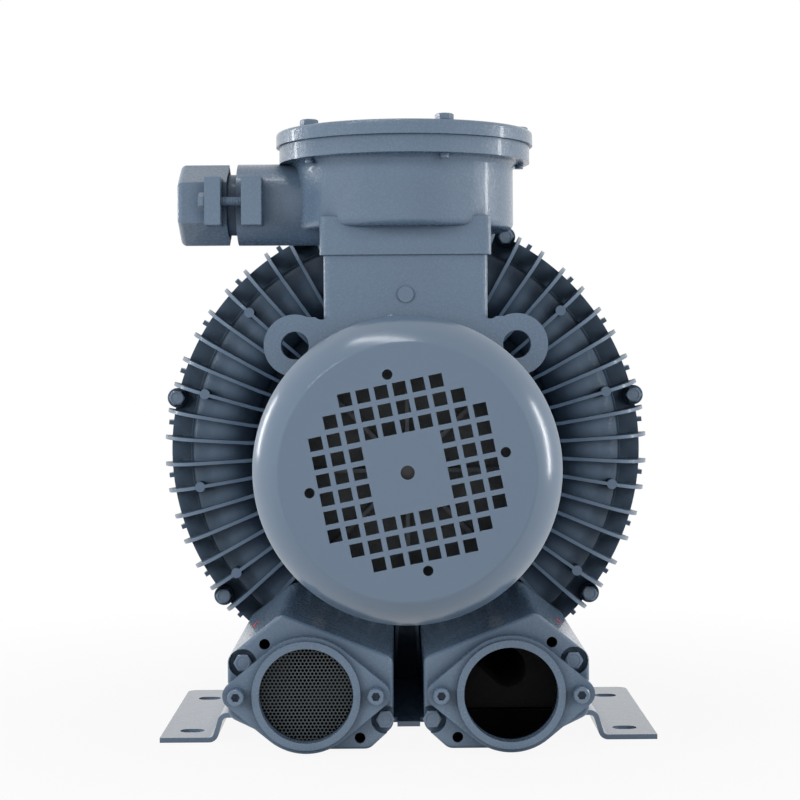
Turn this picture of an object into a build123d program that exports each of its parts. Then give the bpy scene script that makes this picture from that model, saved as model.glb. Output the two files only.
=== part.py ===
from build123d import *
import math
import os

# Side channel blower with a flameproof motor, in millimetres.
# X points right, Y points away from the fan cowl, Z points up.
# The origin is on the floor, midway between the four foot slots.

# Clearances shared by all the fits
joint_gap = 0.05
press_clearance = 0.02
running_clearance = 0.04
loose_clearance = 0.5

quarter_turn = 90.0

# Shaft line
rim_radius = 215.0
rim_floor_gap = 13.0
axis_height = rim_radius + rim_floor_gap
shaft_axis = Axis((0, 0, axis_height), (0, -1, 0))
section_plane = Plane((0, 0, axis_height))

# Foot bracket
foot_sheet = 4.0
foot_step = 24.0
foot_width = 405.0
foot_front = -99.0
foot_back = 112.0
foot_shelf_half_width = 152.0
foot_slope_run = 6.0
foot_bend_radius = 6.0
foot_tongue_front = -139.0
foot_tongue_half_width = 9.0
shelf_front = -122.0
shelf_wing_half_width = 118.0
slot_spacing_x = 358.0
slot_spacing_y = 142.0
slot_length = 20.0
slot_width = 14.0
foot_corner_radius = 8.0
shelf_back = 160.0
foot_screw_x = 42.0
front_foot_screw_y = 84.0
rear_foot_screw_y = 136.0
foot_screw_length = 20.0

# Blower stage
split_plane = 108.0
impeller_radius = rim_radius - 25.0
impeller_width = 36.0
impeller_side_gap = 0.6
impeller_tip_gap = 0.9
channel_radius = 23.0
channel_mean_radius = impeller_radius - 25.0
channel_flats = 10
casting_wall = 7.0
housing_disc = 10.0
rim_thickness = 9.0
stripper_half_angle = 17.0
fin_count = 56
fin_thickness = 3.0
fin_tip_radius = rim_radius + 6.0
fin_inner_radius = 126.0
fin_front = 50.0
fin_crest_inner = channel_mean_radius - channel_radius
fin_crest_outer = fin_tip_radius - 35.0
fin_root_front = 62.0
fin_tip_land = 7.0
rear_rib_count = 28
rear_rib_thickness = 4.0
rear_rib_back = 168.0
rear_rib_inner_radius = 44.0
rear_shoulder_inset = 12.0
hub_recess_radius = 24.0
hub_recess_depth = 8.0
rear_boss_radius = 48.0
rear_boss_back = 146.0
window_radius = 15.0
window_angle = 23.0
chest_front = 49.0
base_half_width = 60.0
base_height = 26.0
lug_radius = 9.0
lug_pitch_radius = rim_radius
lug_thickness = 12.0
lug_angles = (12.86, 64.3, 115.7, 167.14, 218.6, 321.4)
pad_angles = (41.8, 16.1, -9.6, -35.4, 138.2, 163.9, 189.6, 215.4)
pad_radius = 4.5
pad_pitch_radius = rim_radius - 28.0

# Impeller
blade_count = 44
blade_thickness = 3.0
impeller_web = 8.0
impeller_hub_radius = 34.0
impeller_ring_inner_radius = impeller_radius - 52.0
pocket_depth = 15.0
pocket_slope = 7.0
hub_inset = 3.0
key_width = 8.0
key_rise = 3.3
key_length = 26.0
washer_radius = 17.0
washer_thickness = 3.0
impeller_bolt_length = 28.0

# Shaft and its seats
drive_seat_radius = 17.5
core_seat_radius = 23.0
fan_seat_radius = 15.0
fan_spigot_radius = 12.0
fan_spigot_front = -230.0
fan_shoulder_radius = 20.0
fan_shoulder_length = 12.0
impeller_seat_radius = 14.0
impeller_seat_length = impeller_width - 2 * hub_inset
clip_inner_radius = 10.5
clip_outer_radius = 16.0
clip_thickness = 1.2

# Motor
frame_bore_radius = 98.0
frame_radius = 105.0
frame_front = -126.0
frame_back = 50.0
frame_rib_count = 28
frame_rib_radius = 111.0
frame_rib_thickness = 3.0
frame_boss_radius = 8.0
frame_boss_pitch = 104.0
frame_boss_angles = (45.0, 135.0, 225.0, 315.0)
stator_front = -92.0
stator_back = 24.0
stator_bore_radius = 60.0
air_gap = 0.6
winding_overhang = 22.0
winding_inner_radius = 64.0
winding_outer_radius = 90.0
winding_bevel = 6.0
rotor_end_ring = 8.0
rotor_end_ring_inner_radius = 40.0

# Bearings: sealed deep groove ball bearings, 35 x 72 x 17 and 30 x 62 x 16
drive_bearing_radius = 36.0
drive_bearing_width = 17.0
drive_bearing_front = 49.0
drive_inner_ring_radius = 23.5
fan_bearing_radius = 31.0
fan_bearing_width = 16.0
fan_bearing_front = -148.0
fan_inner_ring_radius = 20.5
wave_spring_thickness = 2.0
race_wall = 5.0
seal_inset = 0.8

# End shields
shield_spigot = 8.0
shield_spigot_wall = 5.0
bearing_hub_wall = 7.0
drive_shield_flange_radius = 122.0
drive_shield_flange = 10.0
fan_shield_front = -136.0
seal_radius = 26.0
seal_width = 7.0
seal_lip_height = 3.0
seal_lip_width = 2.0
shield_thread_depth = 16.0
drive_flange_pitch = 115.0
drive_flange_angles = (0.0, 60.0, 120.0, 180.0, 240.0, 300.0)
cowl_lug_half_width = 9.0
hub_front_wall = 4.0
m8_thread_reach = 14.0

# Pedestal, lifting ears and plug
pedestal_width = 132.5
pedestal_front = -114.0
pedestal_back = 30.0
pedestal_top = axis_height + 167.0
pedestal_wall = 20.0
pedestal_corner_radius = 6.0
ear_offset_x = 89.5
ear_offset_z = 94.2
ear_radius = 25.1
ear_hole_radius = 11.3
ear_thickness = 15.0
ear_web_bottom = 60.0
ear_web_top = 117.0
duct_width = 40.0
duct_depth = 14.0
duct_front = -107.0
plug_radius = 6.5
plug_height = axis_height + 135.0
plug_depth = 9.0
plug_lip = 1.0
pedestal_cavity_bottom = axis_height + 112.0
ear_notch_x = 68.0
ear_notch_z = 122.0
ear_notch_radius = 7.0

# Fan cowl
cowl_radius = 116.0
cowl_sheet = 2.5
cowl_front = -247.0
cowl_shoulder_back = -221.0
cowl_face_radius = 95.5
cowl_shoulder_bulge = 1.6
cowl_edge_radius = 3.2
cowl_back = -126.5
cowl_turn = 11.4
grille_pitch = 13.7
grille_square = 9.8
grille_size = 10
grille_half = 4.5
grille_rows = (2.5, 3.5, 4.5, 4.5, 4.5)
grille_blank = 1.5
cowl_hole_radius = 3.8
cowl_hole_pitch = 73.5
cowl_center_hole_radius = 5.2
cowl_screw_angle = 95.6
cowl_screw_y = -131.0
cowl_screw_length = 14.0

# Cooling fan
fan_radius = 88.0
fan_hub_radius = 24.0
fan_back = -182.0
fan_front = -226.0
fan_plate = 4.0
fan_blade_count = 8
fan_blade_thickness = 3.0
fan_blade_front = -222.0
fan_blade_tip_front = -212.0
clip_mouth = 6.0

# Terminal box
box_center_y = -42.0
neck_width = 138.5
neck_half_depth = 73.8
neck_wall = 7.0
neck_floor = 10.0
box_radius = 91.4
box_wall = 9.0
box_bottom = pedestal_top + 23.0
box_bottom_rounding = 6.0
box_floor = 8.0
flange_bottom = box_bottom + 56.5
flange_top = flange_bottom + 14.2
flange_radius = 105.3
lid_radius = 107.9
lid_top = flange_top + 11.8
lid_dome_radius = 52.0
lid_dome_height = 5.5
lid_inner_hollow = 6.0
lid_edge_radius = 3.0
lid_screw_overrun = 4.0
box_shoulder_wall = 5.0
wire_notch = 12.0
stud_nut_flats = 10.0
stud_nut_height = 5.0
lid_screw_pitch = 97.0
lid_screw_angles = (-53.0, 19.0, 91.0, 163.0, 235.0)
neck_screw_offset_x = 54.0
neck_screw_offset_y = 60.0
neck_opening = 66.0
neck_thread_depth = 18.0
seal_ring_radius = 86.5
seal_ring_width = 3.0
seal_ring_depth = 2.0
block_width = 84.0
block_depth = 74.0
block_height = 20.0
stud_spacing_x = 24.0
stud_spacing_y = 36.0
stud_radius = 3.0
stud_length = 18.0

# Cable gland
gland_height = box_bottom + 23.3
gland_boss_radius = 34.2
gland_boss_end = -139.8
gland_thread_radius = 23.0
gland_neck_radius = 25.6
gland_cap_front = -147.6
gland_cap_end = -188.8
gland_cap_corner_radius = 34.0
gland_cap_rounding = 5.0
gland_seal_length = 16.0
gland_end_wall = 6.0
gland_sleeve_inner = -100.0
gland_bore_radius = 17.0
cable_play = 1.0
clamp_ear_sink = 3.0
cable_radius = 12.0
clamp_ear_height = 39.5
clamp_ear_depth = 15.0
cap_ear_inner = -151.0
cap_ear_outer = -164.2
boss_ear_inner = -117.5
boss_ear_outer = -134.1
clamp_bolt_radius = 4.0

# Silencers and ports
port_spacing = 160.0
port_height = 49.0
port_bore_radius = 36.8
collar_radius = 42.5
collar_front = -164.0
collar_rise = 3.5
flange_plate = 8.0
cover_depth = 26.0
cover_wall = 6.0
cover_back_wall = 4.0
cover_bolt_spots = [(130.0, 73.3), (18.5, 28.2)]
cover_thread_spots = [(112.7, 88.0), (38.4, 14.0)]
cover_column_radius = 12.0
cover_pocket_radius = 11.0
cover_thread_radius = 4.2
cover_boss_radius = 11.9
body_column_length = 28.0
body_screw_spots = [(125.0, 55.0), (30.0, 45.0), (104.0, 88.0)]
body_back = 48.0
body_wall = 6.0
gasket_thickness = 1.0
silencer_outline_radius = 10.0
silencer_corners = [(12, 77), (100, 112), (142, 78), (142, 31), (88, 5), (31, 5), (12, 22)]
flange_screw_spacing = 109.0
flange_ear_radius = 11.0
foam_gap = 0.4
foam_front = -118.0
foam_back = 33.0
port_passage_lift = 13.0
collar_foot = 3.0
cover_edge_radius = 3.0
screen_radius = 39.0
cover_screw_reach = 16.0
silencer_screw_reach = 14.0
screen_thickness = 1.5

# Fastener sizes: across flats, head height and shank radius
m8_flats, m8_head, m8_radius = 13.0, 5.3, 4.0
m10_flats, m10_head, m10_radius = 16.0, 6.4, 5.0
m8_cap_radius, m8_cap_height, m8_socket_flats = 6.5, 8.0, 6.0
m5_cap_radius, m5_cap_height, m5_radius = 4.25, 3.0, 2.5
socket_depth = 4.0
screw_hole_play = 0.5

# Values worked out from the ones above
impeller_front = split_plane - impeller_width / 2
impeller_back = split_plane + impeller_width / 2
front_face = impeller_front - impeller_side_gap
rear_face = impeller_back + impeller_side_gap
chamber_radius = impeller_radius + impeller_tip_gap
front_wall_face = front_face - housing_disc
rear_wall_face = rear_face + housing_disc
channel_outer_radius = channel_radius + casting_wall
port_x = port_spacing / 2
drive_bore_radius = impeller_seat_radius + press_clearance
shaft_back = impeller_back - hub_inset
fan_back_shoulder = fan_back
fan_clip_front = fan_front - clip_thickness
fan_shield_radius = cowl_radius - cowl_sheet - joint_gap
fan_hub_front = fan_bearing_front - wave_spring_thickness - hub_front_wall
drive_shield_front = front_wall_face - drive_shield_flange
drive_bearing_back = drive_bearing_front + drive_bearing_width
fan_bearing_back = fan_bearing_front + fan_bearing_width
window_x = channel_mean_radius * math.sin(math.radians(window_angle))
window_z = axis_height - channel_mean_radius * math.cos(math.radians(window_angle))

cover_front = collar_front + collar_rise + flange_plate
cover_back = cover_front + cover_depth
body_front = cover_back + gasket_thickness

node_names = []


def facing_front(y, x=0.0, z=axis_height):
    """A plane whose local x is X and local y is Z, and whose extrusions run towards -Y."""
    return Plane((x, y, z), x_dir=(1, 0, 0), z_dir=(0, -1, 0))


def facing_back(y, x=0.0, z=axis_height):
    """A plane for screw heads that point to +Y."""
    return Plane((x, y, z), x_dir=(-1, 0, 0), z_dir=(0, 1, 0))


def polar(radius, angle):
    """Local sketch position around the shaft, counted from +X towards +Z."""
    return radius * math.cos(math.radians(angle)), radius * math.sin(math.radians(angle))


def around_shaft(y, radius, angles):
    """Planes facing the cowl end on a circle around the shaft."""
    spots = [polar(radius, angle) for angle in angles]
    return [facing_front(y, x, axis_height + z) for x, z in spots]


def radial_section(angle):
    """A section plane through the shaft line, turned from +X towards +Z."""
    x, z = polar(1, angle)
    return Plane((0, 0, axis_height), x_dir=(x, 0, z), z_dir=(-z, 0, x))


def span(x_low, y_low, x_high, y_high, mode=Mode.ADD):
    """A rectangle between two corners of the sketch plane."""
    with Locations(((x_low + x_high) / 2, (y_low + y_high) / 2)):
        Rectangle(abs(x_high - x_low), abs(y_high - y_low), mode=mode)


def save(builder, name):
    """Label a finished piece and write its STEP file."""
    builder.part.label = name
    export_step(builder.part, f"parts/{name}.step")
    node_names.append(name)


def hex_screw(flats, head, radius, length):
    """A hex head screw whose head stands on z = 0."""
    with BuildPart() as screw:
        with BuildSketch(Plane.XY):
            RegularPolygon(flats / 2, 6, major_radius=False)
        extrude(amount=head)
        with BuildSketch(Plane.XY):
            Circle(radius)
        extrude(amount=-length)
    return screw.part


def cap_screw(head_radius, head, flats, radius, length):
    """A socket head screw whose head stands on z = 0."""
    with BuildPart() as screw:
        with BuildSketch(Plane.XY):
            Circle(head_radius)
        extrude(amount=head)
        with BuildSketch(Plane.XY.offset(head)):
            RegularPolygon(flats / 2, 6, major_radius=False)
        extrude(amount=-min(socket_depth, head / 2), mode=Mode.SUBTRACT)
        with BuildSketch(Plane.XY):
            Circle(radius)
        extrude(amount=-length)
    return screw.part


def placed(shape, planes):
    """Copies of a locally drawn piece, one on each plane."""
    return [shape.moved(plane.location) for plane in planes]


def fin_copies(fin, count, first_angle):
    """Copies of a fin spaced evenly around the shaft."""
    step = 360 / count
    return [fin.rotate(shaft_axis, first_angle + index * step) for index in range(count)]


def silencer_outline(side, bottom):
    """The section shared by a silencer body, its cover and the housing behind it, cut off at bottom."""
    with BuildSketch() as outline:
        with BuildLine():
            Polyline([(side * x, z) for x, z in silencer_corners], close=True)
        make_face()
        fillet(outline.vertices(), silencer_outline_radius)
        span(-foot_width, bottom - foot_width, foot_width, bottom, mode=Mode.SUBTRACT)
    return outline.sketch


os.makedirs("parts", exist_ok=True)

# Foot bracket: one bent plate with a raised shelf, two feet and a tongue under the ports
slope_end = foot_shelf_half_width + foot_slope_run
shelf_middle = foot_step - foot_sheet / 2
foot_screw_spots = [
    Plane((x, y, foot_step - foot_sheet), x_dir=(1, 0, 0), z_dir=(0, 0, -1))
    for x in (-foot_screw_x, foot_screw_x)
    for y in (front_foot_screw_y, rear_foot_screw_y)
]
with BuildPart() as foot_bracket:
    with BuildSketch(facing_front(foot_back, z=0)):
        with BuildLine():
            FilletPolyline(
                (-foot_width / 2, foot_sheet / 2), (-slope_end, foot_sheet / 2),
                (-foot_shelf_half_width, shelf_middle), (foot_shelf_half_width, shelf_middle),
                (slope_end, foot_sheet / 2), (foot_width / 2, foot_sheet / 2),
                radius=foot_bend_radius,
            )
        trace(line_width=foot_sheet)
    extrude(amount=foot_back - foot_front)
    with BuildSketch(Plane.XY.offset(foot_step)):
        span(-foot_tongue_half_width, foot_tongue_front, foot_tongue_half_width, foot_front + foot_sheet)
        span(-shelf_wing_half_width, shelf_front, shelf_wing_half_width, foot_front + foot_sheet)
        span(-shelf_wing_half_width, foot_back - foot_sheet, shelf_wing_half_width, shelf_back)
    extrude(amount=-foot_sheet)
    upright_edges = foot_bracket.edges().filter_by(Axis.Z)
    fillet(upright_edges.group_by(SortBy.DISTANCE)[-1], foot_corner_radius)
    with BuildSketch(Plane.XY):
        with GridLocations(slot_spacing_x, slot_spacing_y, 2, 2):
            SlotOverall(slot_length, slot_width)
    extrude(amount=foot_sheet, mode=Mode.SUBTRACT)
    with BuildSketch(Plane.XY.offset(foot_step)):
        with Locations(*[(spot.origin.X, spot.origin.Y) for spot in foot_screw_spots]):
            Circle(m10_radius + screw_hole_play)
    extrude(amount=-foot_sheet, mode=Mode.SUBTRACT)
save(foot_bracket, "foot_bracket")

with BuildPart() as foot_screws:
    add(placed(hex_screw(m10_flats, m10_head, m10_radius, foot_screw_length), foot_screw_spots))
save(foot_screws, "foot_screws")


# Fins stand on the casting's outside and run out to the rim
with BuildPart() as front_fin:
    with BuildSketch(section_plane):
        with BuildLine():
            Polyline(
                (fin_tip_radius, split_plane - fin_tip_land),
                (rim_radius - rim_thickness, split_plane - fin_tip_land),
                (rim_radius - rim_thickness, front_face), (fin_inner_radius, front_face),
                (fin_inner_radius, fin_root_front), (fin_crest_inner, fin_front),
                (fin_crest_outer, fin_front),
            )
            EllipticalCenterArc(
                (fin_crest_outer, split_plane - fin_tip_land), fin_tip_radius - fin_crest_outer,
                split_plane - fin_tip_land - fin_front, start_angle=-quarter_turn, arc_size=quarter_turn,
            )
        make_face()
    extrude(amount=fin_thickness / 2, both=True)

with BuildPart() as front_housing:
    with BuildSketch(section_plane):
        span(0, front_wall_face, channel_mean_radius + channel_outer_radius, split_plane)
        span(0, split_plane - rim_thickness, rim_radius, split_plane)
        with Locations((channel_mean_radius, front_face)):
            RegularPolygon(channel_outer_radius, channel_flats, major_radius=False)
        span(0, split_plane, rim_radius, split_plane + channel_outer_radius, mode=Mode.SUBTRACT)
    revolve(axis=shaft_axis)
    with BuildSketch(facing_front(front_face, z=0)):
        add([silencer_outline(-1, foot_step), silencer_outline(1, foot_step)])
    extrude(amount=front_face - chest_front)
    with BuildSketch(facing_front(split_plane)):
        with Locations(*[polar(lug_pitch_radius, angle) for angle in lug_angles]):
            Circle(lug_radius)
    extrude(amount=lug_thickness)
    add(fin_copies(front_fin.part, fin_count, 180 / fin_count))
    with BuildSketch(facing_front(front_face)):
        with Locations(*[polar(pad_pitch_radius, angle) for angle in pad_angles]):
            Circle(pad_radius)
    extrude(amount=front_face - fin_front)
    with BuildSketch(facing_front(split_plane, z=0)):
        span(-rim_radius, -foot_step, rim_radius, foot_step)
    extrude(amount=split_plane - fin_front, mode=Mode.SUBTRACT)
    with BuildSketch(facing_front(split_plane, z=0)):
        span(-base_half_width, foot_step, base_half_width, foot_step + base_height)
    extrude(amount=split_plane - fin_root_front)
    with BuildSketch(section_plane):
        span(0, front_face, chamber_radius, split_plane)
    revolve(axis=shaft_axis, mode=Mode.SUBTRACT)
    with BuildSketch(radial_section(-90 + stripper_half_angle)):
        with Locations((channel_mean_radius, front_face)):
            Circle(channel_radius)
    revolve(axis=shaft_axis, revolution_arc=360 - 2 * stripper_half_angle, mode=Mode.SUBTRACT)
    with BuildSketch(facing_front(split_plane, z=0)):
        with Locations((-window_x, window_z), (window_x, window_z)):
            Circle(window_radius)
    extrude(amount=split_plane - chest_front, mode=Mode.SUBTRACT)
    with BuildSketch(section_plane):
        span(0, front_wall_face, seal_radius, front_face)
    revolve(axis=shaft_axis, mode=Mode.SUBTRACT)
    with BuildSketch(facing_front(split_plane)):
        with Locations(*[polar(lug_pitch_radius, angle) for angle in lug_angles]):
            Circle(m8_radius + screw_hole_play)
    extrude(amount=lug_thickness, mode=Mode.SUBTRACT)
    with BuildSketch(facing_front(chest_front, z=0)):
        with Locations(*[(side * x, z) for side in (-1, 1) for x, z in body_screw_spots]):
            Circle(m8_radius + press_clearance)
    extrude(amount=-silencer_screw_reach, mode=Mode.SUBTRACT)
    with BuildSketch(facing_front(front_wall_face)):
        with Locations(*[polar(drive_flange_pitch, angle) for angle in drive_flange_angles]):
            Circle(m8_radius + press_clearance)
    extrude(amount=-housing_disc, mode=Mode.SUBTRACT)
    with BuildSketch(Plane.XY.offset(foot_step)):
        with Locations((-foot_screw_x, front_foot_screw_y), (foot_screw_x, front_foot_screw_y)):
            Circle(m10_radius + press_clearance)
    extrude(amount=foot_screw_length, mode=Mode.SUBTRACT)
save(front_housing, "front_housing")


# Rear housing: the other half of the channel, with stiffening ribs and a closed centre
with BuildPart() as rear_rib:
    with BuildSketch(section_plane):
        with BuildLine():
            Polyline(
                (fin_tip_radius, split_plane + fin_tip_land),
                (rim_radius - rim_thickness, split_plane + fin_tip_land),
                (rim_radius - rim_thickness, rear_face), (rear_rib_inner_radius, rear_face),
                (rear_rib_inner_radius, rear_wall_face), (fin_crest_inner, rear_rib_back),
                (fin_crest_outer, rear_rib_back),
            )
            ThreePointArc(
                (fin_crest_outer, rear_rib_back),
                (fin_tip_radius - rear_shoulder_inset, rear_rib_back - rear_shoulder_inset),
                (fin_tip_radius, split_plane + fin_tip_land),
            )
        make_face()
    extrude(amount=rear_rib_thickness / 2, both=True)

with BuildPart() as rear_housing:
    with BuildSketch(section_plane):
        span(0, split_plane, channel_mean_radius + channel_outer_radius, rear_wall_face)
        span(0, split_plane, rim_radius, split_plane + rim_thickness)
        with Locations((channel_mean_radius, rear_face)):
            Circle(channel_outer_radius)
        span(0, split_plane, rear_boss_radius, rear_boss_back)
        span(0, split_plane - channel_outer_radius, rim_radius, split_plane, mode=Mode.SUBTRACT)
    revolve(axis=shaft_axis)
    with BuildSketch(facing_front(split_plane)):
        with Locations(*[polar(lug_pitch_radius, angle) for angle in lug_angles]):
            Circle(lug_radius)
    extrude(amount=-lug_thickness)
    add(fin_copies(rear_rib.part, rear_rib_count, 180 / rear_rib_count))
    with BuildSketch(facing_front(split_plane, z=0)):
        span(-rim_radius, -foot_step, rim_radius, foot_step)
    extrude(amount=split_plane - shelf_back - rim_thickness, mode=Mode.SUBTRACT)
    with BuildSketch(facing_front(split_plane, z=0)):
        span(-base_half_width, foot_step, base_half_width, foot_step + base_height)
    extrude(amount=split_plane - shelf_back)
    with BuildSketch(section_plane):
        span(0, split_plane, chamber_radius, rear_face)
        span(0, rear_face, hub_recess_radius, rear_face + hub_recess_depth)
    revolve(axis=shaft_axis, mode=Mode.SUBTRACT)
    with BuildSketch(radial_section(-90 + stripper_half_angle)):
        with Locations((channel_mean_radius, rear_face)):
            Circle(channel_radius)
    revolve(axis=shaft_axis, revolution_arc=360 - 2 * stripper_half_angle, mode=Mode.SUBTRACT)
    with BuildSketch(facing_front(split_plane)):
        with Locations(*[polar(lug_pitch_radius, angle) for angle in lug_angles]):
            Circle(m8_radius + press_clearance)
    extrude(amount=-lug_thickness, mode=Mode.SUBTRACT)
    with BuildSketch(Plane.XY.offset(foot_step)):
        with Locations((-foot_screw_x, rear_foot_screw_y), (foot_screw_x, rear_foot_screw_y)):
            Circle(m10_radius + press_clearance)
    extrude(amount=foot_screw_length, mode=Mode.SUBTRACT)
save(rear_housing, "rear_housing")

casing_screw_planes = around_shaft(split_plane - lug_thickness, lug_pitch_radius, lug_angles)
with BuildPart() as casing_screws:
    add(placed(hex_screw(m8_flats, m8_head, m8_radius, 2 * lug_thickness), casing_screw_planes))
save(casing_screws, "casing_screws")


# Impeller: a hub and web carrying a ring with blade pockets on both faces
with BuildPart() as blade:
    with BuildSketch(section_plane):
        span(impeller_ring_inner_radius, impeller_front, impeller_radius, impeller_back)
    extrude(amount=blade_thickness / 2, both=True)

with BuildPart() as impeller:
    with BuildSketch(section_plane):
        span(drive_bore_radius, impeller_front + hub_inset, impeller_hub_radius, impeller_back - hub_inset)
        span(drive_bore_radius, split_plane - impeller_web / 2,
             impeller_radius, split_plane + impeller_web / 2)
        span(impeller_ring_inner_radius - impeller_web, impeller_front,
             impeller_ring_inner_radius, impeller_back)
        with BuildLine():
            Polyline(
                (impeller_ring_inner_radius, impeller_front),
                (impeller_ring_inner_radius + pocket_slope, impeller_front),
                (impeller_ring_inner_radius + pocket_slope + pocket_depth, split_plane - impeller_web / 2),
                (impeller_ring_inner_radius + pocket_slope + pocket_depth, split_plane + impeller_web / 2),
                (impeller_ring_inner_radius + pocket_slope, impeller_back),
                (impeller_ring_inner_radius, impeller_back),
                close=True,
            )
        make_face()
    revolve(axis=shaft_axis)
    add(fin_copies(blade.part, blade_count, 180 / blade_count))
    with BuildSketch(facing_front(impeller_back)):
        span(-key_width / 2, 0, key_width / 2, drive_bore_radius + key_rise)
    extrude(amount=impeller_width, mode=Mode.SUBTRACT)
save(impeller, "impeller")

impeller_key_back = impeller_back - hub_inset
with BuildPart() as impeller_key:
    with BuildSketch(facing_front(impeller_key_back)):
        span(-key_width / 2 + joint_gap, impeller_seat_radius - key_rise + joint_gap,
             key_width / 2 - joint_gap, impeller_seat_radius + key_rise - joint_gap)
    extrude(amount=key_length)
save(impeller_key, "impeller_key")

with BuildPart() as impeller_washer:
    with BuildSketch(section_plane):
        span(m10_radius + screw_hole_play, impeller_back - hub_inset, washer_radius,
             impeller_back - hub_inset + washer_thickness)
    revolve(axis=shaft_axis)
save(impeller_washer, "impeller_washer")

with BuildPart() as impeller_bolt:
    bolt_plane = facing_back(impeller_back - hub_inset + washer_thickness)
    add(placed(hex_screw(m10_flats, m10_head, m10_radius, impeller_bolt_length), [bolt_plane]))
save(impeller_bolt, "impeller_bolt")


# Shaft line: everything here turns together
with BuildPart() as shaft:
    with BuildSketch(section_plane):
        span(0, shaft_back - impeller_seat_length, impeller_seat_radius, shaft_back)
        span(0, drive_bearing_front, drive_seat_radius, shaft_back - impeller_seat_length)
        span(0, fan_bearing_back, fan_shoulder_radius, fan_bearing_back + fan_shoulder_length)
        span(0, fan_bearing_back + fan_shoulder_length, core_seat_radius, drive_bearing_front)
        span(0, fan_back_shoulder, fan_seat_radius, fan_bearing_back)
        span(0, fan_spigot_front, fan_spigot_radius, fan_back_shoulder)
    revolve(axis=shaft_axis)
    with BuildSketch(facing_front(shaft_back)):
        Circle(m10_radius)
    extrude(amount=impeller_bolt_length, mode=Mode.SUBTRACT)
    with BuildSketch(facing_front(impeller_key_back)):
        span(-key_width / 2, impeller_seat_radius - key_rise, key_width / 2, impeller_seat_radius + key_rise)
    extrude(amount=key_length, mode=Mode.SUBTRACT)
    with BuildSketch(section_plane):
        span(clip_inner_radius, fan_clip_front,
             fan_spigot_radius + loose_clearance, fan_clip_front + clip_thickness)
    revolve(axis=shaft_axis, mode=Mode.SUBTRACT)
save(shaft, "shaft")

with BuildPart() as rotor_core:
    with BuildSketch(section_plane):
        span(core_seat_radius, stator_front, stator_bore_radius - air_gap, stator_back)
        span(rotor_end_ring_inner_radius, stator_front - rotor_end_ring,
             stator_bore_radius - 2 * air_gap, stator_back + rotor_end_ring)
    revolve(axis=shaft_axis)
save(rotor_core, "rotor_core")


# Bearings and shaft seal
def make_bearing(name, bore, inner_ring, outer, front, width):
    """A sealed bearing: the inner ring turns with the shaft, the rest sits in the shield."""
    with BuildPart() as inner_race:
        with BuildSketch(section_plane):
            span(bore + press_clearance, front, inner_ring, front + width)
        revolve(axis=shaft_axis)
    save(inner_race, f"{name}_bearing_inner_ring")
    with BuildPart() as outer_race:
        with BuildSketch(section_plane):
            span(inner_ring + running_clearance, front + seal_inset, outer, front + width - seal_inset)
            span(outer - race_wall, front, outer, front + width)
        revolve(axis=shaft_axis)
    save(outer_race, f"{name}_bearing_outer_ring")


make_bearing("drive_end", drive_seat_radius, drive_inner_ring_radius, drive_bearing_radius,
             drive_bearing_front, drive_bearing_width)
make_bearing("fan_end", fan_seat_radius, fan_inner_ring_radius, fan_bearing_radius,
             fan_bearing_front, fan_bearing_width)

with BuildPart() as wave_spring:
    with BuildSketch(section_plane):
        span(fan_bearing_radius - race_wall, fan_bearing_front - wave_spring_thickness,
             fan_bearing_radius - joint_gap, fan_bearing_front)
    revolve(axis=shaft_axis)
save(wave_spring, "wave_spring")

with BuildPart() as shaft_seal:
    with BuildSketch(section_plane):
        span(drive_seat_radius + running_clearance, front_wall_face, drive_seat_radius + seal_lip_height,
             front_wall_face + seal_lip_width)
        span(drive_seat_radius + seal_lip_height, front_wall_face,
             seal_radius, front_wall_face + seal_lip_width)
        span(seal_radius - seal_lip_width, front_wall_face, seal_radius, front_wall_face + seal_width)
    revolve(axis=shaft_axis)
save(shaft_seal, "shaft_seal")


# Motor frame: ribbed tube with screw bosses, pedestal and lifting ears
with BuildPart() as frame_rib:
    with BuildSketch(section_plane):
        span(frame_bore_radius + loose_clearance, frame_front, frame_rib_radius, frame_back)
    extrude(amount=frame_rib_thickness / 2, both=True)

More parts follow.
